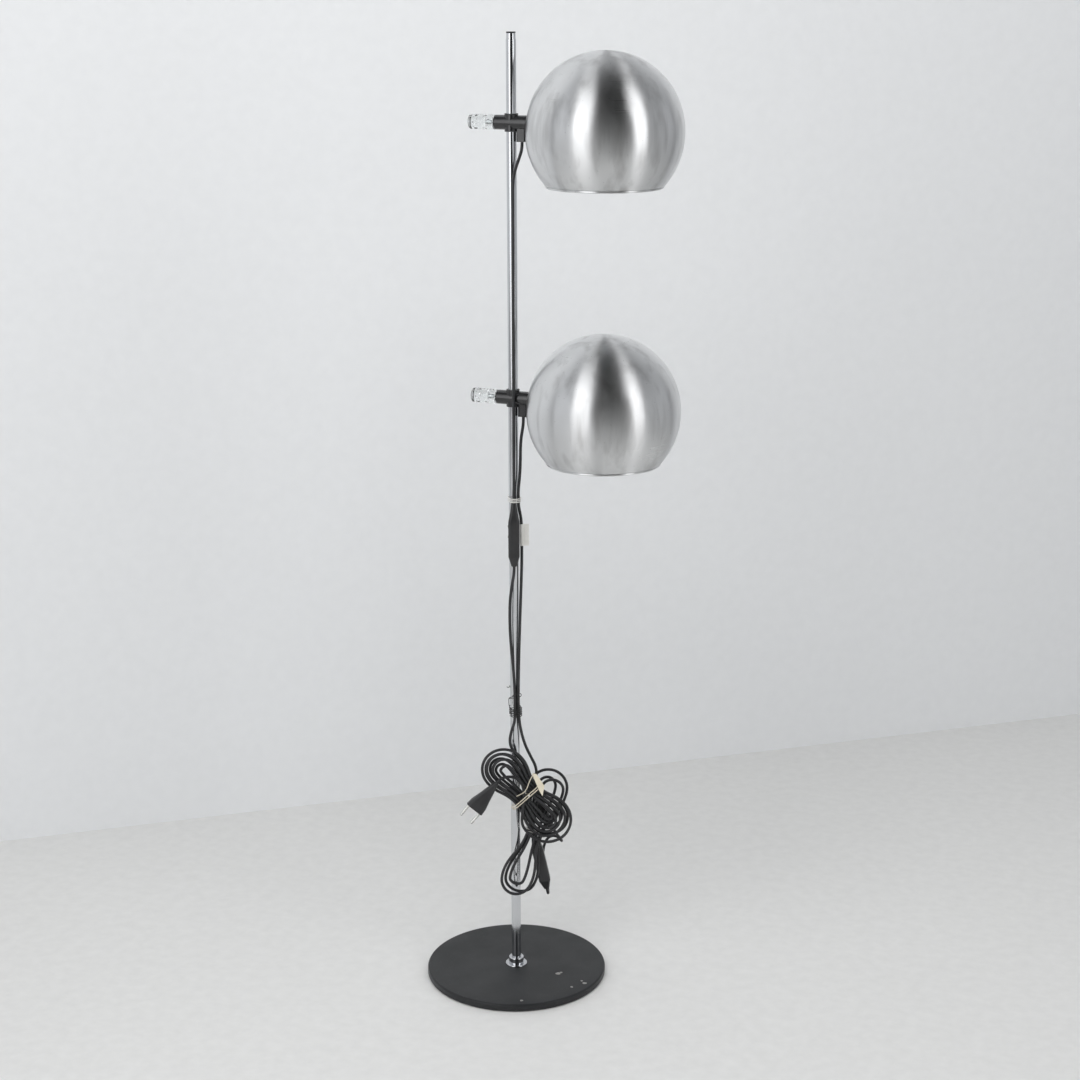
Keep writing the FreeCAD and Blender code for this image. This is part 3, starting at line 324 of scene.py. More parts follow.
def centre_line(item):
    """The points of a curve's own line, in order."""
    bevel = item.data.bevel_depth
    item.data.bevel_depth = 0
    bpy.context.view_layer.update()
    graph = bpy.context.evaluated_depsgraph_get()
    mesh = bpy.data.meshes.new_from_object(item.evaluated_get(graph), depsgraph=graph)
    points = [vertex.co.copy() for vertex in mesh.vertices]
    bpy.data.meshes.remove(mesh)
    item.data.bevel_depth = bevel
    bpy.context.view_layer.update()
    return points


def length_of(points):
    return sum((after - before).length for before, after in zip(points, points[1:]))


def as_mesh(item):
    """Turns a curve into a mesh of the same name."""
    bpy.context.view_layer.update()
    graph = bpy.context.evaluated_depsgraph_get()
    mesh = bpy.data.meshes.new_from_object(item.evaluated_get(graph), depsgraph=graph)
    name = item.name
    curve = item.data
    bpy.data.objects.remove(item)
    bpy.data.curves.remove(curve)
    mesh.name = name
    solid = bpy.data.objects.new(name, mesh)
    bpy.context.scene.collection.objects.link(solid)
    return solid


print("lead finish", cord_skin.name)


# %% The two hanks
LAYER_STEP = 4.6
LOBE_POINTS = 5


class Hank:
    """Loops side by side in two layers; lengths in millimetres."""

    def __init__(self, centre, along, across, outer, pitch, waist, half, inward_runs):
        self.centre = centre / MM
        self.x = along.normalized()
        self.y = across.normalized()
        self.layer = self.x.cross(self.y).normalized() * LAYER_STEP
        self.outer = outer
        self.pitch = pitch
        self.waist = waist
        self.half = half
        self.inward_runs = inward_runs

    def at(self, x, y, layer):
        return (self.centre + self.x * x + self.y * y + self.layer * layer) * MM

    def offset(self, run):
        if run < self.inward_runs:
            return self.outer - self.pitch / 2 * run
        back = 2 * self.inward_runs - 2 - run
        return self.outer - self.pitch / 2 * back + self.pitch / 2

    def start(self):
        return self.at(-self.half, self.outer, 0)

    def finish(self, last_run):
        side = 1 if last_run % 2 == 0 else -1
        return self.at(side * self.half, -side * self.offset(last_run + 1), 1)

    def points(self, last_run, looseness):
        """Four points a run and five a half turn; loose lobes differ a little in size."""
        result = []
        step = math.pi / LOBE_POINTS
        for run in range(last_run + 1):
            side = 1 if run % 2 == 0 else -1
            off = self.offset(run)
            low = 0 if run < self.inward_runs else 1
            high = 0 if run < self.inward_runs - 1 else 1
            drawn = self.waist * off
            for share, y, layer in (
                (-0.75, off, low),
                (-0.25, drawn, (low + high) / 2),
                (0.25, drawn, (low + high) / 2),
                (0.75, off, high),
            ):
                result.append(self.at(side * share * self.half, side * y, layer))
            following = self.offset(run + 1)
            radius = (off + following) / 2
            middle = side * (off - following) / 2
            loose = looseness * math.sin(2.4 * run + 0.6)
            lift = looseness * 0.12 * (1 + math.sin(1.9 * run)) * (1 if high else -1)
            for number in range(LOBE_POINTS):
                angle = math.pi / 2 - step * (number + 0.5)
                reach = radius / math.cos(step / 2)
                bulge = math.cos(angle)
                x = side * (self.half + reach * math.cos(angle) + loose * bulge)
                y = middle + side * reach * math.sin(angle)
                result.append(self.at(x, y, high + lift * bulge))
        return result


upper_hank = Hank(
    centre=seen(13.9, 13.6, 274.0),
    along=seen(0.656, 0, -0.755),
    across=seen(0.755, 0, 0.656),
    outer=28.0,
    pitch=7.0,
    waist=0.655,
    half=46.0,
    inward_runs=8,
)
lower_hank = Hank(
    centre=seen(26.0, 9.3, 211.0),
    along=seen(-0.334, 0.16, -0.943),
    across=seen(-0.943, 0, 0.334),
    outer=24.0,
    pitch=11.0,
    waist=0.42,
    half=66.0,
    inward_runs=4,
)
UPPER_HANK_LAST = 14
LOWER_HANK_LAST = 5
print("loops in the upper hank", (UPPER_HANK_LAST + 1) / 2)

# %% [markdown]
# ## The leads: where they run
#
# Both leads leave the small box under an arm, lie down in front of the pole, and are tied to it
# with covered wire. The upper lead has its switch in line half way down. Where a head slides or
# swivels, its lead gives, so those short stretches are kept as pieces of their own between two
# bodies.

# %% The routes, point by point
GLAND_X = 14.6
SWITCH_LONG = 87
CORD = 4.0 * MM
gland_across = GLAND_X * math.cos(VIEW_TURN)
gland_ahead = GLAND_X * math.sin(VIEW_TURN)


def beyond(start, heading, distance):
    """The point that lies a distance in millimetres along a heading."""
    return start + heading.normalized() * (distance * MM)


switch_a_top = seen(0.3, 15.0, 686.4)
switch_a_low = beyond(switch_a_top, -Z, SWITCH_LONG)
switch_b_top = seen(24.9, -4.5, 207.0)
switch_b_heading = seen(0.209, -0.05, -0.976)
switch_b_low = beyond(switch_b_top, switch_b_heading, SWITCH_LONG)
plug_a_tail = upper_hank.at(-40.4, -16.7, 2.35)
plug_a_heading = (
    upper_hank.x * 0.152 - upper_hank.y * 0.988 + upper_hank.layer.normalized() * 0.1
)
plug_b_tail = seen(51.5, -16, 209.5)
plug_b_heading = seen(-0.55, 0, 0.835)

UPPER_BEND = [
    seen(gland_across, gland_ahead, 1156.3),
    seen(gland_across, gland_ahead, 1147.8),
    seen(10.6, 7.5, 1138),
    seen(5.2, 11.2, 1124),
    seen(1.53, 13.68, 1109),
    seen(1.5, 13.7, 1094),
]
UPPER_RUN = [
    seen(1.5, 13.7, 1094),
    seen(0.8, 14.1, 714),
    seen(0.3, 15.0, 700),
    switch_a_top,
]
UPPER_REST = [
    switch_a_low,
    seen(0.3, 15.0, 590),
    seen(-2.4, 14.2, 575),
    seen(-5.6, 12.8, 552),
    seen(-6.2, 11.7, 522),
    seen(-5.0, 10.7, 490),
    seen(-2.2, 9.8, 459),
    seen(-0.2, 9.3, 430),
    seen(0.2, 9.2, 403),
    seen(0.3, 9.5, 378),
    seen(-5.0, 11.5, 364),
    seen(-7.6, 13.0, 350),
    upper_hank.start() - upper_hank.x * (14 * MM),
    *upper_hank.points(UPPER_HANK_LAST, 2.2),
    upper_hank.finish(UPPER_HANK_LAST) - upper_hank.x * (10 * MM),
    upper_hank.at(25, -29, 1.75),
    upper_hank.at(14, -17, 2.15),
    upper_hank.at(2, -4, 2.15),
    upper_hank.at(-9, 5, 2.15),
    upper_hank.at(-20, 9.5, 2.15),
    upper_hank.at(-30, 7, 2.15),
    upper_hank.at(-37.5, 0, 2.15),
    beyond(plug_a_tail, plug_a_heading, -8),
    plug_a_tail,
]
LOWER_BEND = [
    seen(gland_across, gland_ahead, 801.3),
    seen(gland_across, gland_ahead, 792.8),
    seen(12.2, 5.2, 783),
    seen(9.6, 4.6, 767),
    seen(9.4, 4.6, 751),
]
LOWER_RUN = [
    seen(9.4, 4.6, 751),
    seen(9.2, 4.6, 735),
    seen(7.9, 6.9, 716),
    seen(6.2, 9.6, 703),
    seen(6.2, 9.6, 693),
]
LOWER_REST = [
    seen(6.2, 9.6, 693),
    seen(6.2, 9.6, 683),
    seen(8.2, 6.6, 672),
    seen(10.3, 4.0, 658),
    seen(10.6, 3.7, 614),
    seen(10.0, 4.4, 586),
    seen(8.6, 5.5, 548),
    seen(7.1, 6.6, 508),
    seen(5.8, 7.6, 468),
    seen(5.0, 8.2, 430),
    seen(4.8, 8.2, 403),
    seen(5.6, 7.8, 378),
    seen(9.4, 5.4, 356),
    seen(14.6, 2.8, 338),
    seen(22.0, -0.4, 321),
    seen(28.0, -2.8, 308),
    lower_hank.start() - lower_hank.x * (14 * MM),
    *lower_hank.points(LOWER_HANK_LAST, 3.0),
    lower_hank.finish(LOWER_HANK_LAST) + lower_hank.x * (10 * MM),
    lower_hank.at(-44, 26.0, 1.0),
    lower_hank.at(-32, 20.4, 1.0),
    lower_hank.at(-22, 16.4, 1.15),
    lower_hank.at(-14, 12.2, 1.65),
    beyond(switch_b_top, switch_b_heading, -9),
    switch_b_top,
]
LOWER_TAIL = [
    switch_b_low,
    beyond(switch_b_low, switch_b_heading, 5),
    seen(45.0, -14.5, 110.5),
    seen(45.0, -23.0, 111.5),
    seen(44.0, -26.0, 121),
    seen(41.0, -26.5, 136),
    seen(38.0, -27.5, 152),
    seen(37.5, -30.0, 166),
    seen(40.0, -34.0, 179),
    seen(46.5, -37.5, 188),
    seen(56.0, -37.5, 189),
    seen(63.5, -30.0, 186.5),
    seen(64.5, -20.0, 187.5),
    beyond(plug_b_tail, plug_b_heading, -16),
    plug_b_tail,
]
print("route points", len(UPPER_REST), len(LOWER_REST))


# %% Make the stretches of lead
def fixed_lead(name, points, *nodes):
    """A stretch that keeps its shape and rides on the stand."""
    item = route_curve(name, points, CORD)
    line = centre_line(item)
    item = as_mesh(item)
    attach(item, "stand")
    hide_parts(*nodes)
    return item, line


def giving_lead(name, points, near_body, far_body, *nodes):
    """A stretch between two bodies, baked where it lies and attached to neither."""
    item = route_curve(name, points, CORD)
    line = centre_line(item)
    item = as_mesh(item)
    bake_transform(item)
    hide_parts(*nodes)
    return item, line


upper_bend, upper_bend_line = giving_lead(
    "upper_lead_at_arm", UPPER_BEND, "upper_arm", "upper_carriage", "upper_lead_bend"
)
upper_run, upper_run_line = giving_lead(
    "upper_lead_on_pole", UPPER_RUN, "upper_carriage", "stand", "upper_lead_run"
)
upper_rest, upper_rest_line = fixed_lead(
    "upper_lead", UPPER_REST, "upper_lead_middle", "upper_lead_hank", "upper_lead_tail"
)
lower_bend, lower_bend_line = giving_lead(
    "lower_lead_at_arm", LOWER_BEND, "lower_arm", "lower_carriage", "lower_lead_bend"
)
lower_run, lower_run_line = giving_lead(
    "lower_lead_on_pole", LOWER_RUN, "lower_carriage", "stand", "lower_lead_run"
)
lower_rest, lower_rest_line = fixed_lead(
    "lower_lead", LOWER_REST, "lower_lead_middle", "lower_lead_hank", "lower_lead_link"
)
lower_tail, lower_tail_line = fixed_lead(
    "lower_lead_tail_end", LOWER_TAIL, "lower_lead_tail"
)
print(
    "lead lengths",
    [round(length_of(line), 3) for line in (upper_rest_line, lower_rest_line, lower_tail_line)],
    [round(length_of(line), 3) for line in (upper_run_line, lower_run_line)],
)

# %% [markdown]
# ## Shapes that are turned
#
# Most of the metal is turned or spun: the pole, the foot, the disc and both shades. Such a piece
# is a profile, drawn once and swept round its axis. A spin with its ends merged gives a closed
# skin, and the arcs in the profile get as many points as the close view needs.


# %% Functions for profiles and spun pieces
def arc(centre, radius, start, end, count):
    """Points along an arc of a profile, from one angle in degrees to another."""
    points = []
    for number in range(count + 1):
        angle = math.radians(start + (end - start) * number / count)
        points.append(
            (centre[0] + radius * math.cos(angle), centre[1] + radius * math.sin(angle))
        )
    return points


def finished(name, shape, place, sharp=35):
    """Closes a bmesh, puts it in place in millimetres and returns its object."""
    bmesh.ops.remove_doubles(shape, verts=shape.verts, dist=1e-4)
    bmesh.ops.recalc_face_normals(shape, faces=shape.faces)
    shape.transform(place)
    shape.transform(Matrix.Scale(MM, 4))
    mesh = bpy.data.meshes.new(name)
    shape.to_mesh(mesh)
    shape.free()
    for polygon in mesh.polygons:
        polygon.use_smooth = True
    mesh.set_sharp_from_angle(angle=math.radians(sharp))
    item = bpy.data.objects.new(name, mesh)
    bpy.context.scene.collection.objects.link(item)
    return item


def spun_shape(profile, steps=96):
    """Sweeps (distance from the axis, place along it) round Z."""
    shape = bmesh.new()
    spots = [shape.verts.new((out, 0, along)) for out, along in profile]
    edges = [shape.edges.new(pair) for pair in zip(spots, spots[1:])]
    bmesh.ops.spin(
        shape,
        geom=spots + edges,
        cent=(0, 0, 0),
        axis=(0, 0, 1),
        angle=2 * math.pi,
        steps=steps,
        use_merge=True,
        use_duplicate=False,
    )
    return shape


def spun(name, profile, place=None, steps=96, sharp=35):
    return finished(name, spun_shape(profile, steps), place or Matrix.Identity(4), sharp)


def dressed(item, material, body, slot, *nodes):
    """Gives a piece its finish, its body and the CAD nodes that it stands for."""
    item.data.materials.clear()
    item.data.materials.append(material)
    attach(item, body)
    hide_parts(*nodes)
    return item


print("profile helpers ready")

# %% [markdown]
# ## Chrome
#
# Bright plating is almost a mirror, with a trace of wear: faint cloudy patches and hairline
# scratches that run round the tube. The scratches come from a noise whose coordinates are
# squeezed along the pole.


# %% The chrome finish
CHROME = (0.62, 0.63, 0.65)
CHROME_DUST = (0.36, 0.36, 0.36)


def make_chrome():
    material, tree, shader, where = start_material("chrome", CHROME, 0.1, 1.0)
    cloud = place_group(tree, MOTTLE, Vector=where, Scale=30.0, Low=0.07, High=0.17)
    squeezed = add(tree, "ShaderNodeMapping", {"vector_type": "POINT"}, Vector=where)
    squeezed.inputs["Scale"].default_value = (60.0, 60.0, 900.0)
    lines = place_group(tree, SCRATCHES, Vector=squeezed.outputs[0], Scale=1.0, Limit=0.7)
    scraped = add(
        tree, "ShaderNodeMath", {"operation": "MULTIPLY_ADD"}, i0=lines.outputs[0], i1=0.15,
        i2=cloud.outputs[0],
    )
    tree.links.new(scraped.outputs[0], shader.inputs["Roughness"])
    dust = place_group(tree, SPECKS, Vector=where, Scale=420.0, Size=0.16, Amount=0.2)
    shaded = tone(tree, dust.outputs[0], CHROME, CHROME_DUST)
    tree.links.new(shaded, shader.inputs["Base Color"])
    return material


chrome = make_chrome()
print("chrome", len(chrome.node_tree.nodes), "nodes")

# %% [markdown]
# ## The pole
#
# The pole is a chromed steel tube. Its top is drawn in a little to a neck, and a thin dark plug
# closes it.

# %% Make the pole and its top plug
POLE_R = 6.5
POLE_TOP = 1292
POLE_LOW = 18.2
POLE_WALL = 1
POLE_RINGS = 24
NECK_R = 6.0
NECK_LOW = POLE_TOP - 9.0
NECK_TOP = POLE_TOP - 1.6
ring_gap = (NECK_LOW - 2 - POLE_LOW) / POLE_RINGS
pole_profile = [
    (POLE_R - POLE_WALL, POLE_LOW),
    (POLE_R - 0.15, POLE_LOW),
    (POLE_R, POLE_LOW + 0.2),
    *[(POLE_R, POLE_LOW + 1 + ring_gap * ring) for ring in range(POLE_RINGS)],
    (POLE_R, NECK_LOW - 1),
    (POLE_R - 0.1, NECK_LOW - 0.4),
    (NECK_R + 0.1, NECK_LOW + 0.4),
    (NECK_R, NECK_LOW + 1),
    (NECK_R, NECK_TOP - 0.3),
    (NECK_R - 0.3, NECK_TOP),
    (NECK_R - POLE_WALL, NECK_TOP),
    (POLE_R - POLE_WALL, POLE_LOW),
]
pole = spun("pole", pole_profile)
dressed(pole, chrome, "stand", "chrome", "pole_tube")
print("pole height", POLE_TOP, "mm")

# %% [markdown]
# ## The foot
#
# A heavy disc with a satin dark coat keeps the lamp upright. Its edge is rounded above and
# below, and a felt ring underneath keeps it off the floor. A chromed flange and a collar cover
# the hole that the pole goes into. The coat has worn: it has chipped to bright metal in a few
# places near the edge, and carries scuffs.

# %% Make the disc, the flange and the collar
BASE_R = 125.0
BASE_LOW = 1.2
BASE_TOP = 11.0
BASE_ROUND = 2.5
LOW_ROUND = 1.25
STUD_HOLE_R = 4.1
NUT_WELL_R = 18.0
NUT_WELL_TOP = 7.8
disc_profile = [
    (NUT_WELL_R, NUT_WELL_TOP),
    (NUT_WELL_R, BASE_LOW),
    (70, BASE_LOW),
    *arc((BASE_R - LOW_ROUND, BASE_LOW + LOW_ROUND), LOW_ROUND, -90, 0, 6),
    *arc((BASE_R - BASE_ROUND, BASE_TOP - BASE_ROUND), BASE_ROUND, 0, 90, 10),
    (105, BASE_TOP),
    (60, BASE_TOP),
    (20, BASE_TOP),
    (STUD_HOLE_R, BASE_TOP),
    (STUD_HOLE_R, NUT_WELL_TOP),
    (NUT_WELL_R, NUT_WELL_TOP),
]
PAINT_BLACK = (0.013, 0.0137, 0.015)
BARE_METAL = (0.42, 0.41, 0.39)
CHIPS = [(58, 33, 4.0), (63, 30, 2.4), (8, 112, 2.6), (95, 62, 3.4), (91, 55, 2.2), (77, 73, 2.6)]


def make_paint():
    """Satin coat; each chip is where it lies, across and ahead, and how wide, in mm."""
    material, tree, shader, where = start_material(
        "satin_paint", PAINT_BLACK, 0.36, 0.0, Coat_Weight=0.03, Coat_Roughness=0.2,
        Specular_IOR_Level=0.4,
    )
    dull = place_group(tree, MOTTLE, Vector=where, Scale=24.0, Low=0.4, High=0.5)
    grain = place_group(tree, MOTTLE, Vector=where, Scale=1600.0, Detail=2.0)
    flakes = place_group(tree, SPECKS, Vector=where, Scale=520.0, Size=0.15, Amount=0.12)
    pale = tone(tree, flakes.outputs[0], PAINT_BLACK, (0.12, 0.12, 0.12))
    warped = add(tree, "ShaderNodeTexNoise", Vector=where, Scale=170.0, Detail=3.0)
    chips = None
    for across, ahead, wide in CHIPS:
        spot = seen(across, ahead, BASE_TOP)
        away = add(tree, "ShaderNodeVectorMath", {"operation": "DISTANCE"}, i0=where)
        away.inputs[1].default_value = spot
        ragged = add(
            tree, "ShaderNodeMath", {"operation": "MULTIPLY_ADD"}, i0=warped.outputs["Fac"],
            i1=wide * 1.3 * MM, i2=away.outputs["Value"],
        )
        inside = add(
            tree, "ShaderNodeMath", {"operation": "LESS_THAN"}, i0=ragged.outputs[0],
            i1=wide * 1.45 * MM,
        )
        if chips is None:
            chips = inside.outputs[0]
        else:
            joined = add(
                tree, "ShaderNodeMath", {"operation": "MAXIMUM"}, i0=chips,
                i1=inside.outputs[0],
            )
            chips = joined.outputs[0]
    mix = add(tree, "ShaderNodeMix", {"data_type": "RGBA"})
    mix.inputs[7].default_value = (*BARE_METAL, 1)
    tree.links.new(chips, mix.inputs[0])
    tree.links.new(pale, mix.inputs[6])
    tree.links.new(mix.outputs[2], shader.inputs["Base Color"])
    tree.links.new(chips, shader.inputs["Metallic"])
    tree.links.new(dull.outputs[0], shader.inputs["Roughness"])
    bumped(tree, shader, grain.outputs[0], 0.12, 0.0001)
    return material


paint = make_paint()
disc = spun("base_plate", disc_profile, steps=192)
dressed(disc, paint, "stand", "satin_black_paint", "base_disc")

FLANGE_R = 15.25
FLANGE_TOP = 13.2
FLANGE_ROUND = 1.35
COLLAR_R = 10.5
COLLAR_TOP = 22.2
COLLAR_ROUND = 1.5
COLLAR_BORE_R = 6.55
flange = spun(
    "foot_flange_skin",
    [
        (STUD_HOLE_R, BASE_TOP),
        (FLANGE_R, BASE_TOP),
        (FLANGE_R, BASE_TOP + 0.5),
        *arc((FLANGE_R - FLANGE_ROUND, FLANGE_TOP - FLANGE_ROUND), FLANGE_ROUND, 0, 90, 8),
        (8, FLANGE_TOP),
        (STUD_HOLE_R, FLANGE_TOP),
        (STUD_HOLE_R, BASE_TOP),
    ],
)
dressed(flange, chrome, "stand", "chrome", "foot_flange")
collar = spun(
    "foot_collar_skin",
    [
        (COLLAR_BORE_R, FLANGE_TOP),
        (COLLAR_R, FLANGE_TOP),
        (COLLAR_R, COLLAR_TOP - 2.8),
        *arc((COLLAR_R - COLLAR_ROUND, COLLAR_TOP - COLLAR_ROUND), COLLAR_ROUND, 0, 90, 8),
        (7.0, COLLAR_TOP),
        (COLLAR_BORE_R, COLLAR_TOP - 0.3),
        (COLLAR_BORE_R, FLANGE_TOP),
    ],
)
dressed(collar, chrome, "stand", "chrome", "foot_collar")
print("disc", 2 * BASE_R, "mm wide")

# %% [markdown]
# ## Spun aluminium
#
# The shades are spun from sheet on a lathe, so fine grooves run round them. Grooves spread a
# highlight across themselves, which draws each light out into a band from the top of the ball to
# its mouth. Anisotropy with a tangent round Z does the same. Streaks round the ball change the
# roughness a little, soft smears lie over them, and tiny pits show as specks.


# %% The aluminium finish
ALUMINIUM = (0.74, 0.745, 0.75)
TARNISH = (0.5, 0.5, 0.5)


def make_aluminium(seed):
    material, tree, shader, where = start_material(
        f"spun_aluminium_{seed}", ALUMINIUM, 0.33, 1.0, Anisotropic=0.97,
        Anisotropic_Rotation=0.25,
    )
    around = add(tree, "ShaderNodeTangent", {"direction_type": "RADIAL", "axis": "Z"})
    tree.links.new(around.outputs[0], shader.inputs["Tangent"])
    split = add(tree, "ShaderNodeSeparateXYZ", Vector=where)
    drift = add(tree, "ShaderNodeTexNoise", Vector=where, Scale=9.0, Detail=2.0)
    height = add(
        tree, "ShaderNodeMath", {"operation": "MULTIPLY_ADD"}, i0=drift.outputs["Fac"],
        i1=0.0012, i2=split.outputs[2],
    )
    grooves = add(
        tree, "ShaderNodeTexNoise", {"noise_dimensions": "1D"}, W=height.outputs[0],
        Scale=1400.0, Detail=4.0,
    )
    smears = place_group(tree, MOTTLE, Vector=where, Scale=14.0 + seed, Low=-0.05, High=0.06)
    rough = add(
        tree, "ShaderNodeMath", {"operation": "MULTIPLY_ADD"}, i0=grooves.outputs["Fac"],
        i1=0.16, i2=smears.outputs[0],
    )
    raised = add(tree, "ShaderNodeMath", {"operation": "ADD"}, i0=rough.outputs[0], i1=0.26)
    tree.links.new(raised.outputs[0], shader.inputs["Roughness"])
    squeezed = add(tree, "ShaderNodeMapping", {"vector_type": "POINT"}, Vector=where)
    squeezed.inputs["Scale"].default_value = (55.0, 55.0, 7.0)
    tarnish = add(
        tree, "ShaderNodeTexNoise", Vector=squeezed.outputs[0], Scale=1.0, Detail=3.0
    )
    dirt = add(
        tree, "ShaderNodeMapRange", Value=tarnish.outputs["Fac"], From_Min=0.5, From_Max=0.8
    )
    pits = place_group(tree, SPECKS, Vector=where, Scale=260.0, Size=0.13, Amount=0.16)
    marks = add(
        tree, "ShaderNodeMath", {"operation": "MAXIMUM"}, i0=dirt.outputs[0],
        i1=pits.outputs[0],
    )
    shaded = tone(tree, marks.outputs[0], ALUMINIUM, TARNISH)
    tree.links.new(shaded, shader.inputs["Base Color"])
    bumped(tree, shader, grooves.outputs["Fac"], 0.06, 0.0002)
    return material


print("aluminium tone", ALUMINIUM)

# %% [markdown]
# ## The shades
#
# Each shade is a ball of 200 mm with its bottom cut off at the mouth. The wall is a little over
# a millimetre thick and the mouth ends in a rolled bead. A hole in the side takes the threaded
# nipple that carries both the shade and the lampholder, so the wall is opened there: the faces
# round the hole are cut out with a boolean copy of the drill.

# %% Make the two shades
SHADE_R = 100.0
SHADE_WALL = 1.2
MOUTH_BELOW = 67.0
BEAD_R = 1.5
BEAD_OVERLAP = 1.2
ARM_REACH = 126.694
ARM_ABOVE = 9.0
NIPPLE_HOLE_R = 5.05
NIPPLE_HOLE_X = (24, 34)
ARMS = {"upper": 1180.0, "lower": 825.0}

mouth_angle = math.degrees(math.asin(-MOUTH_BELOW / SHADE_R))
inside_angle = math.degrees(math.asin(-MOUTH_BELOW / (SHADE_R - SHADE_WALL)))
bead_out = SHADE_R * math.cos(math.radians(mouth_angle)) - SHADE_WALL / 2
bead = arc((bead_out, -MOUTH_BELOW), BEAD_R, 55, -235, 20)
shade_profile = [
    *arc((0, 0), SHADE_R, 90, mouth_angle + BEAD_OVERLAP, 110),
    *bead,
    *arc((0, 0), SHADE_R - SHADE_WALL, inside_angle + BEAD_OVERLAP, 90, 90),
]


def drill(name, x_from, x_to, radius, height):
    """A plain cutter along X; sizes in millimetres."""
    shape = bmesh.new()
    bmesh.ops.create_cone(
        shape, cap_ends=True, segments=64, radius1=radius, radius2=radius,
        depth=x_to - x_from,
    )
    turned = Matrix.Translation(((x_from + x_to) / 2, 0, height)) @ Matrix.Rotation(
        math.radians(90), 4, "Y"
    )
    return finished(name, shape, turned)


def cut_with(item, cutter):
    """Applies a boolean cut and removes the cutter."""
    modifier = item.modifiers.new("cut", "BOOLEAN")
    modifier.object = cutter
    modifier.operation = "DIFFERENCE"
    bpy.context.view_layer.update()
    graph = bpy.context.evaluated_depsgraph_get()
    mesh = bpy.data.meshes.new_from_object(item.evaluated_get(graph), depsgraph=graph)
    item.modifiers.clear()
    old = item.data
    item.data = mesh
    mesh.name = item.name
    bpy.data.meshes.remove(old)
    used = cutter.data
    bpy.data.objects.remove(cutter)
    bpy.data.meshes.remove(used)


for number, (head, arm_z) in enumerate(ARMS.items()):
    place = Matrix.Translation((ARM_REACH, 0, arm_z - ARM_ABOVE))
    shade = spun(f"{head}_ball", shade_profile, place, steps=160)
    cut_with(shade, drill("drill", *NIPPLE_HOLE_X, NIPPLE_HOLE_R, arm_z))
    dressed(shade, make_aluminium(number), f"{head}_shade_group", "spun_aluminium",
            f"{head}_shade")
    print(head, "shade", len(shade.data.polygons), "faces")

# %% [markdown]
# ## The knobs
#
# Each clamp screw has a clear cast knob: a round-ended bar with two rings of eight finger
# dimples. The bar is spun with close rings of points, and every point inside a dimple's ball is
# drawn in to the ball's surface. The screw is seen inside, because the bore is modelled too.


# %% The clear finish
def make_clear():
    material, tree, shader, where = start_material(
        "clear_acrylic", (0.9, 0.92, 0.92), 0.03, 0.0, Transmission_Weight=1.0, IOR=1.49
    )
    wear = place_group(tree, MOTTLE, Vector=where, Scale=260.0, Low=0.015, High=0.08)
    tree.links.new(wear.outputs[0], shader.inputs["Roughness"])
    ripple = place_group(tree, MOTTLE, Vector=where, Scale=120.0, Detail=1.0)
    bumped(tree, shader, ripple.outputs[0], 0.05, 0.0003)
    return material


# %% Make the knobs
KNOB_R = 9.5
KNOB_IN = -22.9
KNOB_OUT = -57.5
KNOB_ROUND = 2.5
BORE_R = 3.05
BORE_END = -33.9
DIMPLE_BALL = 6.0
DIMPLE_DEEP = 1.2
DIMPLE_ROWS = (-46.7, -33.7)
DIMPLES = 8


def dimpled(out, along, angle):
    """The distance from the axis where a dimple's ball has cut into the bar."""
    lowest = out
    ball_out = KNOB_R - DIMPLE_DEEP + DIMPLE_BALL
    for row in DIMPLE_ROWS:
        for number in range(DIMPLES):
            turn = angle - 2 * math.pi * number / DIMPLES
            if math.cos(turn) < 0.7:
                continue
            side = (along - row) ** 2 + (ball_out * math.sin(turn)) ** 2
            if side < DIMPLE_BALL**2:
                cut_at = ball_out * math.cos(turn) - math.sqrt(DIMPLE_BALL**2 - side)
                lowest = min(lowest, cut_at)
    return lowest


knob_profile = [
    (0, BORE_END),
    (BORE_R, BORE_END),
    (BORE_R, KNOB_IN),
    (KNOB_R - 1.2, KNOB_IN),
    *[(KNOB_R - 1 + math.sin(k), KNOB_IN - 1 + math.cos(k)) for k in (0.3, 0.8, 1.3)],
    *[(KNOB_R, KNOB_IN - 1.2 - (KNOB_IN - KNOB_OUT - 3.8) * k / 64) for k in range(65)],
    *[
        (KNOB_R - KNOB_ROUND + KNOB_ROUND * math.cos(k * math.pi / 16),
         KNOB_OUT + KNOB_ROUND - KNOB_ROUND * math.sin(k * math.pi / 16))
        for k in range(1, 9)
    ],
    (0, KNOB_OUT),
]
clear = make_clear()
for head, arm_z in ARMS.items():
    shape = spun_shape(knob_profile, steps=144)
    for vertex in shape.verts:
        out = math.hypot(vertex.co.x, vertex.co.y)
        if out < KNOB_R - 0.6:
            continue
        angle = math.atan2(vertex.co.y, vertex.co.x)
        drawn = dimpled(out, vertex.co.z, angle)
        vertex.co.x *= drawn / out
        vertex.co.y *= drawn / out
    along_x = Matrix.Translation((0, 0, arm_z)) @ Matrix.Rotation(math.radians(90), 4, "Y")
    knob = finished(f"{head}_clear_knob", shape, along_x, sharp=50)
    dressed(knob, clear, f"{head}_knob_and_screw", "clear_acrylic", f"{head}_knob")
print("dimples per knob", DIMPLES * len(DIMPLE_ROWS))

# %% [markdown]
# ## Ties, label and tag
#
# The leads are held to the pole by wire ties, one white and one black, each wound a few times
# with its ends twisted together. The upper hank is tied with soft string and the lower one with
# white wire. A winding follows a long loop with half-round ends that climbs a little with every
# turn.


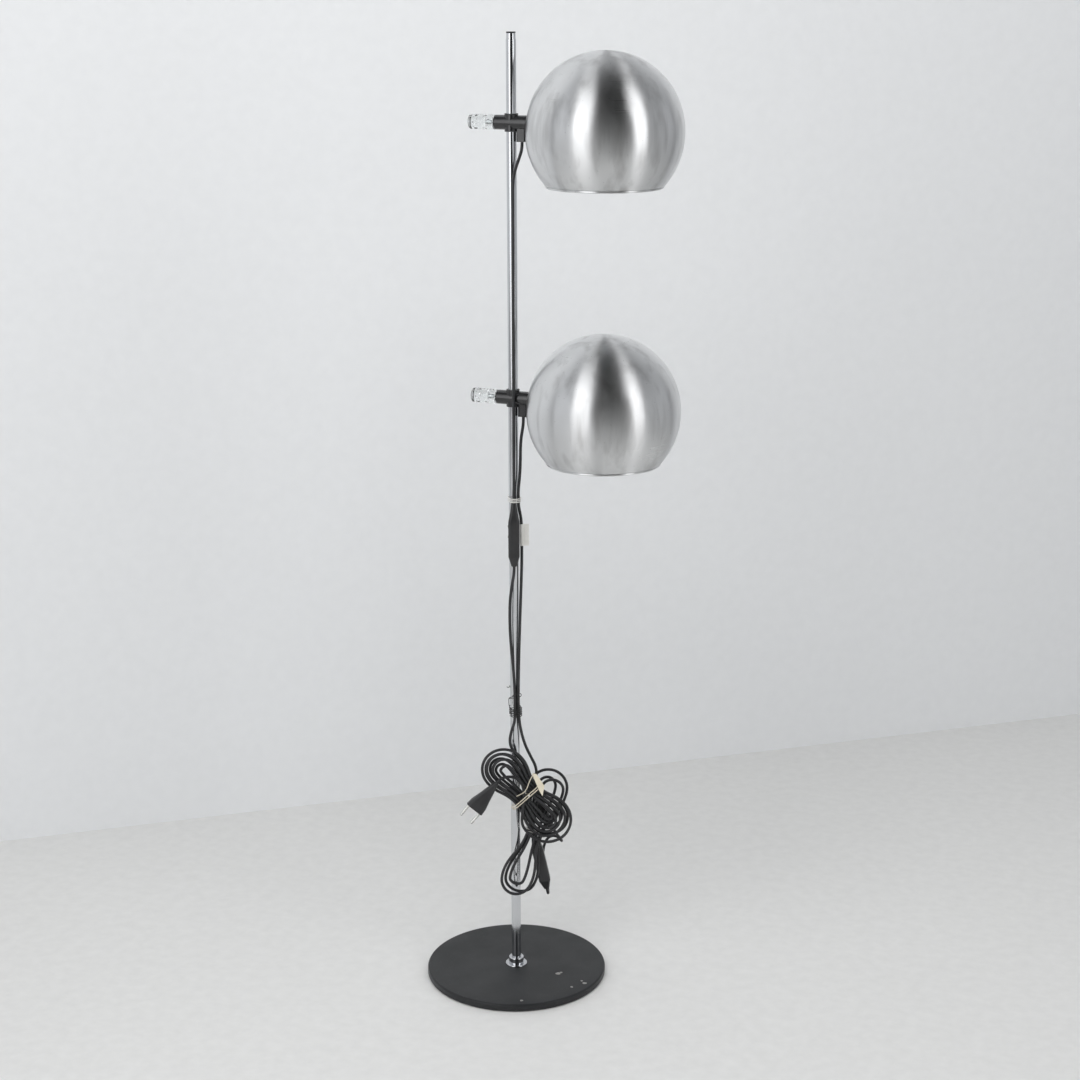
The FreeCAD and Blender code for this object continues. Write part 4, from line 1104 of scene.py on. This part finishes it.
# %% Windings
def winding_points(middle, long_way, axis, half, radius, pitch, turns):
    """Points of a winding round two parallel round things, in millimetres."""
    long_way = long_way.normalized()
    axis = (axis - long_way * axis.dot(long_way)).normalized()
    thick_way = axis.cross(long_way)
    start = -pitch * turns / 2
    points = []
    corners = 5
    step = math.pi / corners
    grow = 1 / math.cos(step / 2)
    for turn in range(turns):
        for side in (1, -1):
            base = start + pitch * (turn + (0 if side == 1 else 0.5))
            for share in (-0.6, 0.6):
                climb = base + pitch * 0.5 * (share + 0.6) / 2.4
                spot = middle / MM + long_way * half * share * side
                points.append((spot - thick_way * radius * side + axis * climb) * MM)
            for number in range(corners):
                angle = -math.pi / 2 + step * (number + 0.5)
                spot = middle / MM + long_way * (half + radius * grow * math.cos(angle)) * side
                spot += thick_way * radius * grow * math.sin(angle) * side
                climb = base + pitch * 0.5 * (0.6 + 0.08 * number)
                points.append((spot + axis * climb) * MM)
    return points


def strand(name, points, diameter, material):
    """A wire or string along points, as a mesh on the stand."""
    item = as_mesh(route_curve(name, points, diameter * MM, material))
    for polygon in item.data.polygons:
        polygon.use_smooth = True
    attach(item, "stand")
    return item


WIRE = 1.2
STRING = 1.5
LOOSE_WIRE = 1.0
LOOSE_STRING = 1.4
white_wire = plain_finish(
    "white_wire", (0.62, 0.61, 0.58), (0.8, 0.79, 0.76), (0.4, 0.55), grain=900.0
)
black_wire = plain_finish("black_wire", BLACK, (0.03, 0.03, 0.03), (0.4, 0.6), grain=900.0)


def make_string():
    """Twisted string: slanting ribs from a wave, in a warm off-white."""
    material, tree, shader, where = start_material(
        "string", (0.62, 0.56, 0.44), 0.85, 0.0, Sheen_Weight=0.3
    )
    ribs = add(
        tree, "ShaderNodeTexWave", {"bands_direction": "DIAGONAL"}, Vector=where,
        Scale=330.0, Distortion=1.0,
    )
    shaded = tone(tree, ribs.outputs["Fac"], (0.44, 0.38, 0.28), (0.78, 0.72, 0.6))
    tree.links.new(shaded, shader.inputs["Base Color"])
    bumped(tree, shader, ribs.outputs["Fac"], 0.6, 0.0004)
    return material


string_finish = make_string()
print("tie finishes ready")

# %% Make the four ties
tie_white_way = seen(1.9, 11.0, 0)
white_points = winding_points(
    seen(0.95, 5.5, 690), tie_white_way, Z.copy(), half=5.58, radius=7.4, pitch=2.2, turns=3
)
white_tie = strand("white_wire_tie", white_points, WIRE, white_wire)
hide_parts("tie_white")

tie_black_way = seen(1.8, 5.1, 0)
black_points = winding_points(
    seen(0.9, 2.55, 390), tie_black_way, Z.copy(), half=2.70, radius=7.4, pitch=2.6, turns=5
)
black_tie = strand("black_wire_tie", black_points, WIRE, black_wire)
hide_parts("tie_black")

string_points = winding_points(
    upper_hank.at(2, -0.6, 1.075), upper_hank.y, upper_hank.x, half=17.8, radius=7.995,
    pitch=3.2, turns=2,
)
string_tie = strand("string_tie", string_points, STRING, string_finish)
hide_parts("tie_upper_hank")

hank_wire_points = winding_points(
    lower_hank.at(-3, 0, 0.5), lower_hank.y, lower_hank.x, half=9.6, radius=5.2, pitch=3.0,
    turns=2,
)
hank_wire = strand("white_hank_tie", hank_wire_points, WIRE, white_wire)
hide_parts("tie_lower_hank")
print("tie points", len(white_points), len(black_points), len(string_points))

# %% [markdown]
# The ends of the ties are loose. The black wire's end stands off the pole in a wide loop with a
# small curl at its top, and a second short end hooks out from behind the pole. The string's end
# crosses the hank's waist and goes up to the card that hangs on it.

# %% Add the loose ends
BLACK_END = [
    (2.0, 12.6, 391.0),
    (-3.6, 12.2, 394.5),
    (-7.6, 9.5, 398.5),
    (-8.3, 8.6, 404.7),
    (-8.2, 8.4, 411.2),
    (-3.9, 11.4, 413.0),
    (1.5, 12.8, 417.7),
    (6.4, 12.6, 419.8),
    (9.4, 12.2, 416.9),
    (7.6, 12.6, 413.6),
    (0.5, 13.0, 412.4),
    (-8.0, 9.6, 410.4),
]
SHORT_END = [(-3.0, -7.4, 428.0), (-6.5, -3.6, 425.0), (-8.2, 0.0, 422.0), (-10.8, 1.0, 424.2)]
STRING_END = [
    (2.0, 26.4, 274.6),
    (7.0, 28.9, 278.0),
    (15.0, 28.9, 283.2),
    (19.6, 28.7, 298.0),
    (24.2, 28.6, 306.2),
    (25.4, 27.0, 308.9),
]


def loose_end(name, places, diameter, material):
    return strand(name, [seen(*place) for place in places], diameter, material)


loose_end("black_wire_end", BLACK_END, LOOSE_WIRE, black_wire)
loose_end("black_wire_short_end", SHORT_END, LOOSE_WIRE, black_wire)
loose_end("string_end", STRING_END, LOOSE_STRING, string_finish)
print("points of the loose ends", len(BLACK_END), len(SHORT_END), len(STRING_END))

# %% [markdown]
# ## Finishes for the pieces that stay as they are
#
# The moulded arms, switches, plugs and the parts inside the shades keep their solid shapes, and
# get finishes of their own: glossy moulded black for the arms, satin black for the switches,
# opal glass for the lamps, and plain metals and plastics for the rest.

# %% Dress the carried nodes
arm_black = plain_finish(
    "arm_black", (0.010, 0.010, 0.011), (0.016, 0.016, 0.017), (0.12, 0.24), grain=700.0,
    bump=0.06, Coat_Weight=0.3, Coat_Roughness=0.08,
)
switch_black = plain_finish(
    "switch_black", (0.014, 0.014, 0.015), (0.026, 0.026, 0.027), (0.3, 0.44), grain=1400.0,
    bump=0.15,
)
plug_black = plain_finish(
    "plug_black", (0.016, 0.016, 0.017), (0.028, 0.028, 0.029), (0.34, 0.5), grain=1400.0,
    bump=0.15,
)
cap_black = plain_finish("cap_black", BLACK, SOFT_BLACK, (0.3, 0.45))
holder_white = plain_finish(
    "holder_white", (0.6, 0.59, 0.55), (0.68, 0.67, 0.63), (0.35, 0.5), grain=900.0
)
nylon = plain_finish("nylon", (0.02, 0.02, 0.02), (0.03, 0.03, 0.03), (0.4, 0.6))
zinc = plain_finish(
    "zinc_steel", (0.45, 0.46, 0.47), (0.58, 0.59, 0.6), (0.25, 0.42), metallic=1.0
)
brass = plain_finish(
    "brass", (0.58, 0.42, 0.17), (0.72, 0.54, 0.24), (0.22, 0.36), metallic=1.0
)
cap_metal = plain_finish(
    "lamp_cap_metal", (0.6, 0.6, 0.58), (0.74, 0.74, 0.72), (0.2, 0.32), metallic=1.0
)
pin_metal = plain_finish(
    "pin_metal", (0.6, 0.6, 0.58), (0.74, 0.73, 0.7), (0.16, 0.3), metallic=1.0
)
opal = plain_finish(
    "opal_glass", (0.8, 0.8, 0.78), (0.86, 0.86, 0.84), (0.25, 0.35), grain=300.0, bump=0.03,
    Subsurface_Weight=0.3,
)
felt = plain_finish(
    "felt", (0.012, 0.012, 0.012), (0.03, 0.03, 0.03), (0.9, 1.0), grain=2600.0, bump=0.6,
    Sheen_Weight=0.4,
)
paper = plain_finish(
    "paper", (0.74, 0.73, 0.69), (0.83, 0.82, 0.79), (0.7, 0.85), grain=1200.0, bump=0.2
)
cream = plain_finish(
    "cream_card", (0.66, 0.6, 0.47), (0.76, 0.7, 0.57), (0.7, 0.85), grain=1200.0, bump=0.2
)

CARRIED = {
    "base_felt": felt,
    "pole_foot_bush": zinc,
    "pole_top_plug": cap_black,
    "foot_stud": zinc,
    "foot_nut": zinc,
    "cord_label": paper,
    "tie_tag": cream,
}
for head in ARMS:
    CARRIED[f"{head}_liner"] = nylon
    CARRIED[f"{head}_clamp"] = arm_black
    CARRIED[f"{head}_pad"] = brass
    CARRIED[f"{head}_screw"] = zinc
    CARRIED[f"{head}_seat_ring"] = arm_black
    CARRIED[f"{head}_inner_nut"] = zinc
    CARRIED[f"{head}_nipple"] = brass
    CARRIED[f"{head}_lampholder"] = holder_white
    CARRIED[f"{head}_lamp_cap"] = cap_metal
    CARRIED[f"{head}_bulb"] = opal
for letter in "ab":
    for part in ("cover", "case", "rocker"):
        CARRIED[f"switch_{letter}_{part}"] = switch_black
    CARRIED[f"plug_{letter}_body"] = plug_black
    CARRIED[f"plug_{letter}_pins"] = pin_metal
for node, material in CARRIED.items():
    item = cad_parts[node]
    item.data.materials.clear()
    item.data.materials.append(material)
print("carried nodes", len(CARRIED))

# %% [markdown]
#
# Two of the leads run from a switch and end in a plug, and the others end in the next piece of
# the lamp.

# %% [markdown]
# ## Floor, wall and light
#
# The lamp stands on a pale floor before a pale wall, which runs at a slight angle behind it. Two
# tall soft lights stand in front, left and right: the aluminium draws each into a band. A large
# one overhead fills in. The wall is clear from behind and the lights hide from the camera, so
# that the lamp can be looked at from every side.

# %% Build the studio
WALL_LEFT_FOOT = (-843, -456, 0)
WALL_RIGHT_FOOT = (1063, -1046, 0)
WALL_SPARE = 5
WALL_HIGH = 5
FLOOR_FRONT = 7
FLOOR_BEHIND = 1


def plane(name, corners, material):
    shape = bmesh.new()
    shape.faces.new([shape.verts.new(corner) for corner in corners])
    mesh = bpy.data.meshes.new(name)
    shape.to_mesh(mesh)
    shape.free()
    mesh.materials.append(material)
    item = bpy.data.objects.new(name, mesh)
    bpy.context.scene.collection.objects.link(item)
    return item


floor_paint = plain_finish("floor_paint", (0.70, 0.70, 0.69), (0.74, 0.74, 0.73), (0.55, 0.65))
wall_paint = plain_finish("wall_paint", (0.76, 0.77, 0.78), (0.78, 0.79, 0.80), (0.8, 0.9))


def open_from_behind(material):
    """Lets a camera behind the wall look through it at the lamp."""
    tree = material.node_tree
    facing = add(tree, "ShaderNodeNewGeometry")
    clear = add(tree, "ShaderNodeBsdfTransparent")
    mix = add(
        tree, "ShaderNodeMixShader", i0=facing.outputs["Backfacing"],
        i1=tree.nodes["Principled BSDF"].outputs[0], i2=clear.outputs[0],
    )
    tree.links.new(mix.outputs[0], tree.nodes["Material Output"].inputs["Surface"])


open_from_behind(wall_paint)
along_wall = (seen(*WALL_RIGHT_FOOT) - seen(*WALL_LEFT_FOOT)).normalized()
wall_left = seen(*WALL_LEFT_FOOT) - along_wall * WALL_SPARE
wall_right = seen(*WALL_RIGHT_FOOT) + along_wall * WALL_SPARE
front = AHEAD * FLOOR_FRONT
behind = AHEAD * FLOOR_BEHIND
plane(
    "floor",
    [wall_left - behind, wall_right - behind, wall_right + front, wall_left + front],
    floor_paint,
)
plane(
    "wall",
    [wall_left, wall_right, wall_right + Z * WALL_HIGH, wall_left + Z * WALL_HIGH],
    wall_paint,
)


def soft_light(name, place, target, wide, high, power):
    data = bpy.data.lights.new(name, "AREA")
    data.shape = "RECTANGLE"
    data.size = wide
    data.size_y = high
    data.energy = power
    item = bpy.data.objects.new(name, data)
    item.location = place
    item.rotation_euler = (target - place).to_track_quat("-Z", "Y").to_euler()
    item.visible_camera = False
    bpy.context.scene.collection.objects.link(item)
    return item


def around_lamp(turn, distance, up):
    """A point round the lamp: turn in degrees, to the right of the camera's side."""
    angle = math.radians(turn)
    return (AHEAD * math.cos(angle) + ACROSS * math.sin(angle)) * distance + Z * up


LIGHTS_AWAY = 2.6
LIGHTS_UP = 1.95
LIGHTS_HIGH = 3.8
middle = Vector((0, 0, 0.9))
left_place = around_lamp(-34, LIGHTS_AWAY, LIGHTS_UP)
right_place = around_lamp(51, LIGHTS_AWAY, LIGHTS_UP)
soft_light("left_light", left_place, middle, wide=1.35, high=LIGHTS_HIGH, power=24)
soft_light("right_light", right_place, middle, wide=0.95, high=LIGHTS_HIGH, power=19)
fill = soft_light("top_light", around_lamp(0, 2.0, 3.4), middle, wide=2.6, high=2.6, power=74)
fill.visible_glossy = False

# %% [markdown]
# The room itself is pale, apart from a darker side behind the camera. That darker side is what
# the balls and the pole mirror between the two bright bands, so the world's strength falls off
# towards one compass direction. The ceiling and the right side are darker too. A camera that
# looks past the wall and floor sees an even pale tone instead.


# %% Light the room
DARK_TURN = 11
DARK_FROM = 0.80
DARK_TO = 0.90
ROOM_BRIGHT = 0.9
ROOM_DARK = 0.03
RIGHT_SHARE = 0.6
CEILING_SHARE = 0.12
SHOWN_BRIGHT = 0.7


def make_room():
    world = bpy.data.worlds.new("room")
    world.use_nodes = True
    tree = world.node_tree
    back = tree.nodes["Background"]
    back.inputs["Color"].default_value = (0.95, 0.97, 1, 1)
    direction = tree.nodes.new("ShaderNodeTexCoord").outputs["Generated"]
    level = add(tree, "ShaderNodeVectorMath", {"operation": "MULTIPLY"}, i0=direction)
    level.inputs[1].default_value = (1, 1, 0)
    unit = add(tree, "ShaderNodeVectorMath", {"operation": "NORMALIZE"}, i0=level.outputs[0])
    turned = add(tree, "ShaderNodeVectorMath", {"operation": "DOT_PRODUCT"}, i0=unit.outputs[0])
    turned.inputs[1].default_value = around_lamp(DARK_TURN, 1, 0)
    strength = add(
        tree, "ShaderNodeMapRange", {"interpolation_type": "SMOOTHSTEP"},
        Value=turned.outputs["Value"], From_Min=DARK_FROM, From_Max=DARK_TO,
        To_Min=ROOM_BRIGHT, To_Max=ROOM_DARK,
    )
    side = add(tree, "ShaderNodeVectorMath", {"operation": "DOT_PRODUCT"}, i0=direction)
    side.inputs[1].default_value = ACROSS
    right = add(
        tree, "ShaderNodeMapRange", Value=side.outputs["Value"], From_Min=0.2, From_Max=0.9,
        To_Min=1.0, To_Max=RIGHT_SHARE,
    )
    height = add(tree, "ShaderNodeSeparateXYZ", Vector=direction)
    above = add(
        tree, "ShaderNodeMapRange", Value=height.outputs[2], From_Min=0.3, From_Max=0.9,
        To_Min=1.0, To_Max=CEILING_SHARE,
    )
    sides = add(
        tree, "ShaderNodeMath", {"operation": "MULTIPLY"}, i0=strength.outputs["Result"],
        i1=right.outputs["Result"],
    )
    whole = add(
        tree, "ShaderNodeMath", {"operation": "MULTIPLY"}, i0=sides.outputs[0],
        i1=above.outputs["Result"],
    )
    looked_at = add(tree, "ShaderNodeLightPath").outputs["Is Camera Ray"]
    shown = add(tree, "ShaderNodeMix", Factor=looked_at)
    tree.links.new(whole.outputs[0], shown.inputs[2])
    shown.inputs[3].default_value = SHOWN_BRIGHT
    tree.links.new(shown.outputs[0], back.inputs["Strength"])
    return world


bpy.context.scene.world = make_room()
bpy.context.scene.view_settings.view_transform = "Standard"
print("lights", [light.name for light in bpy.data.lights])
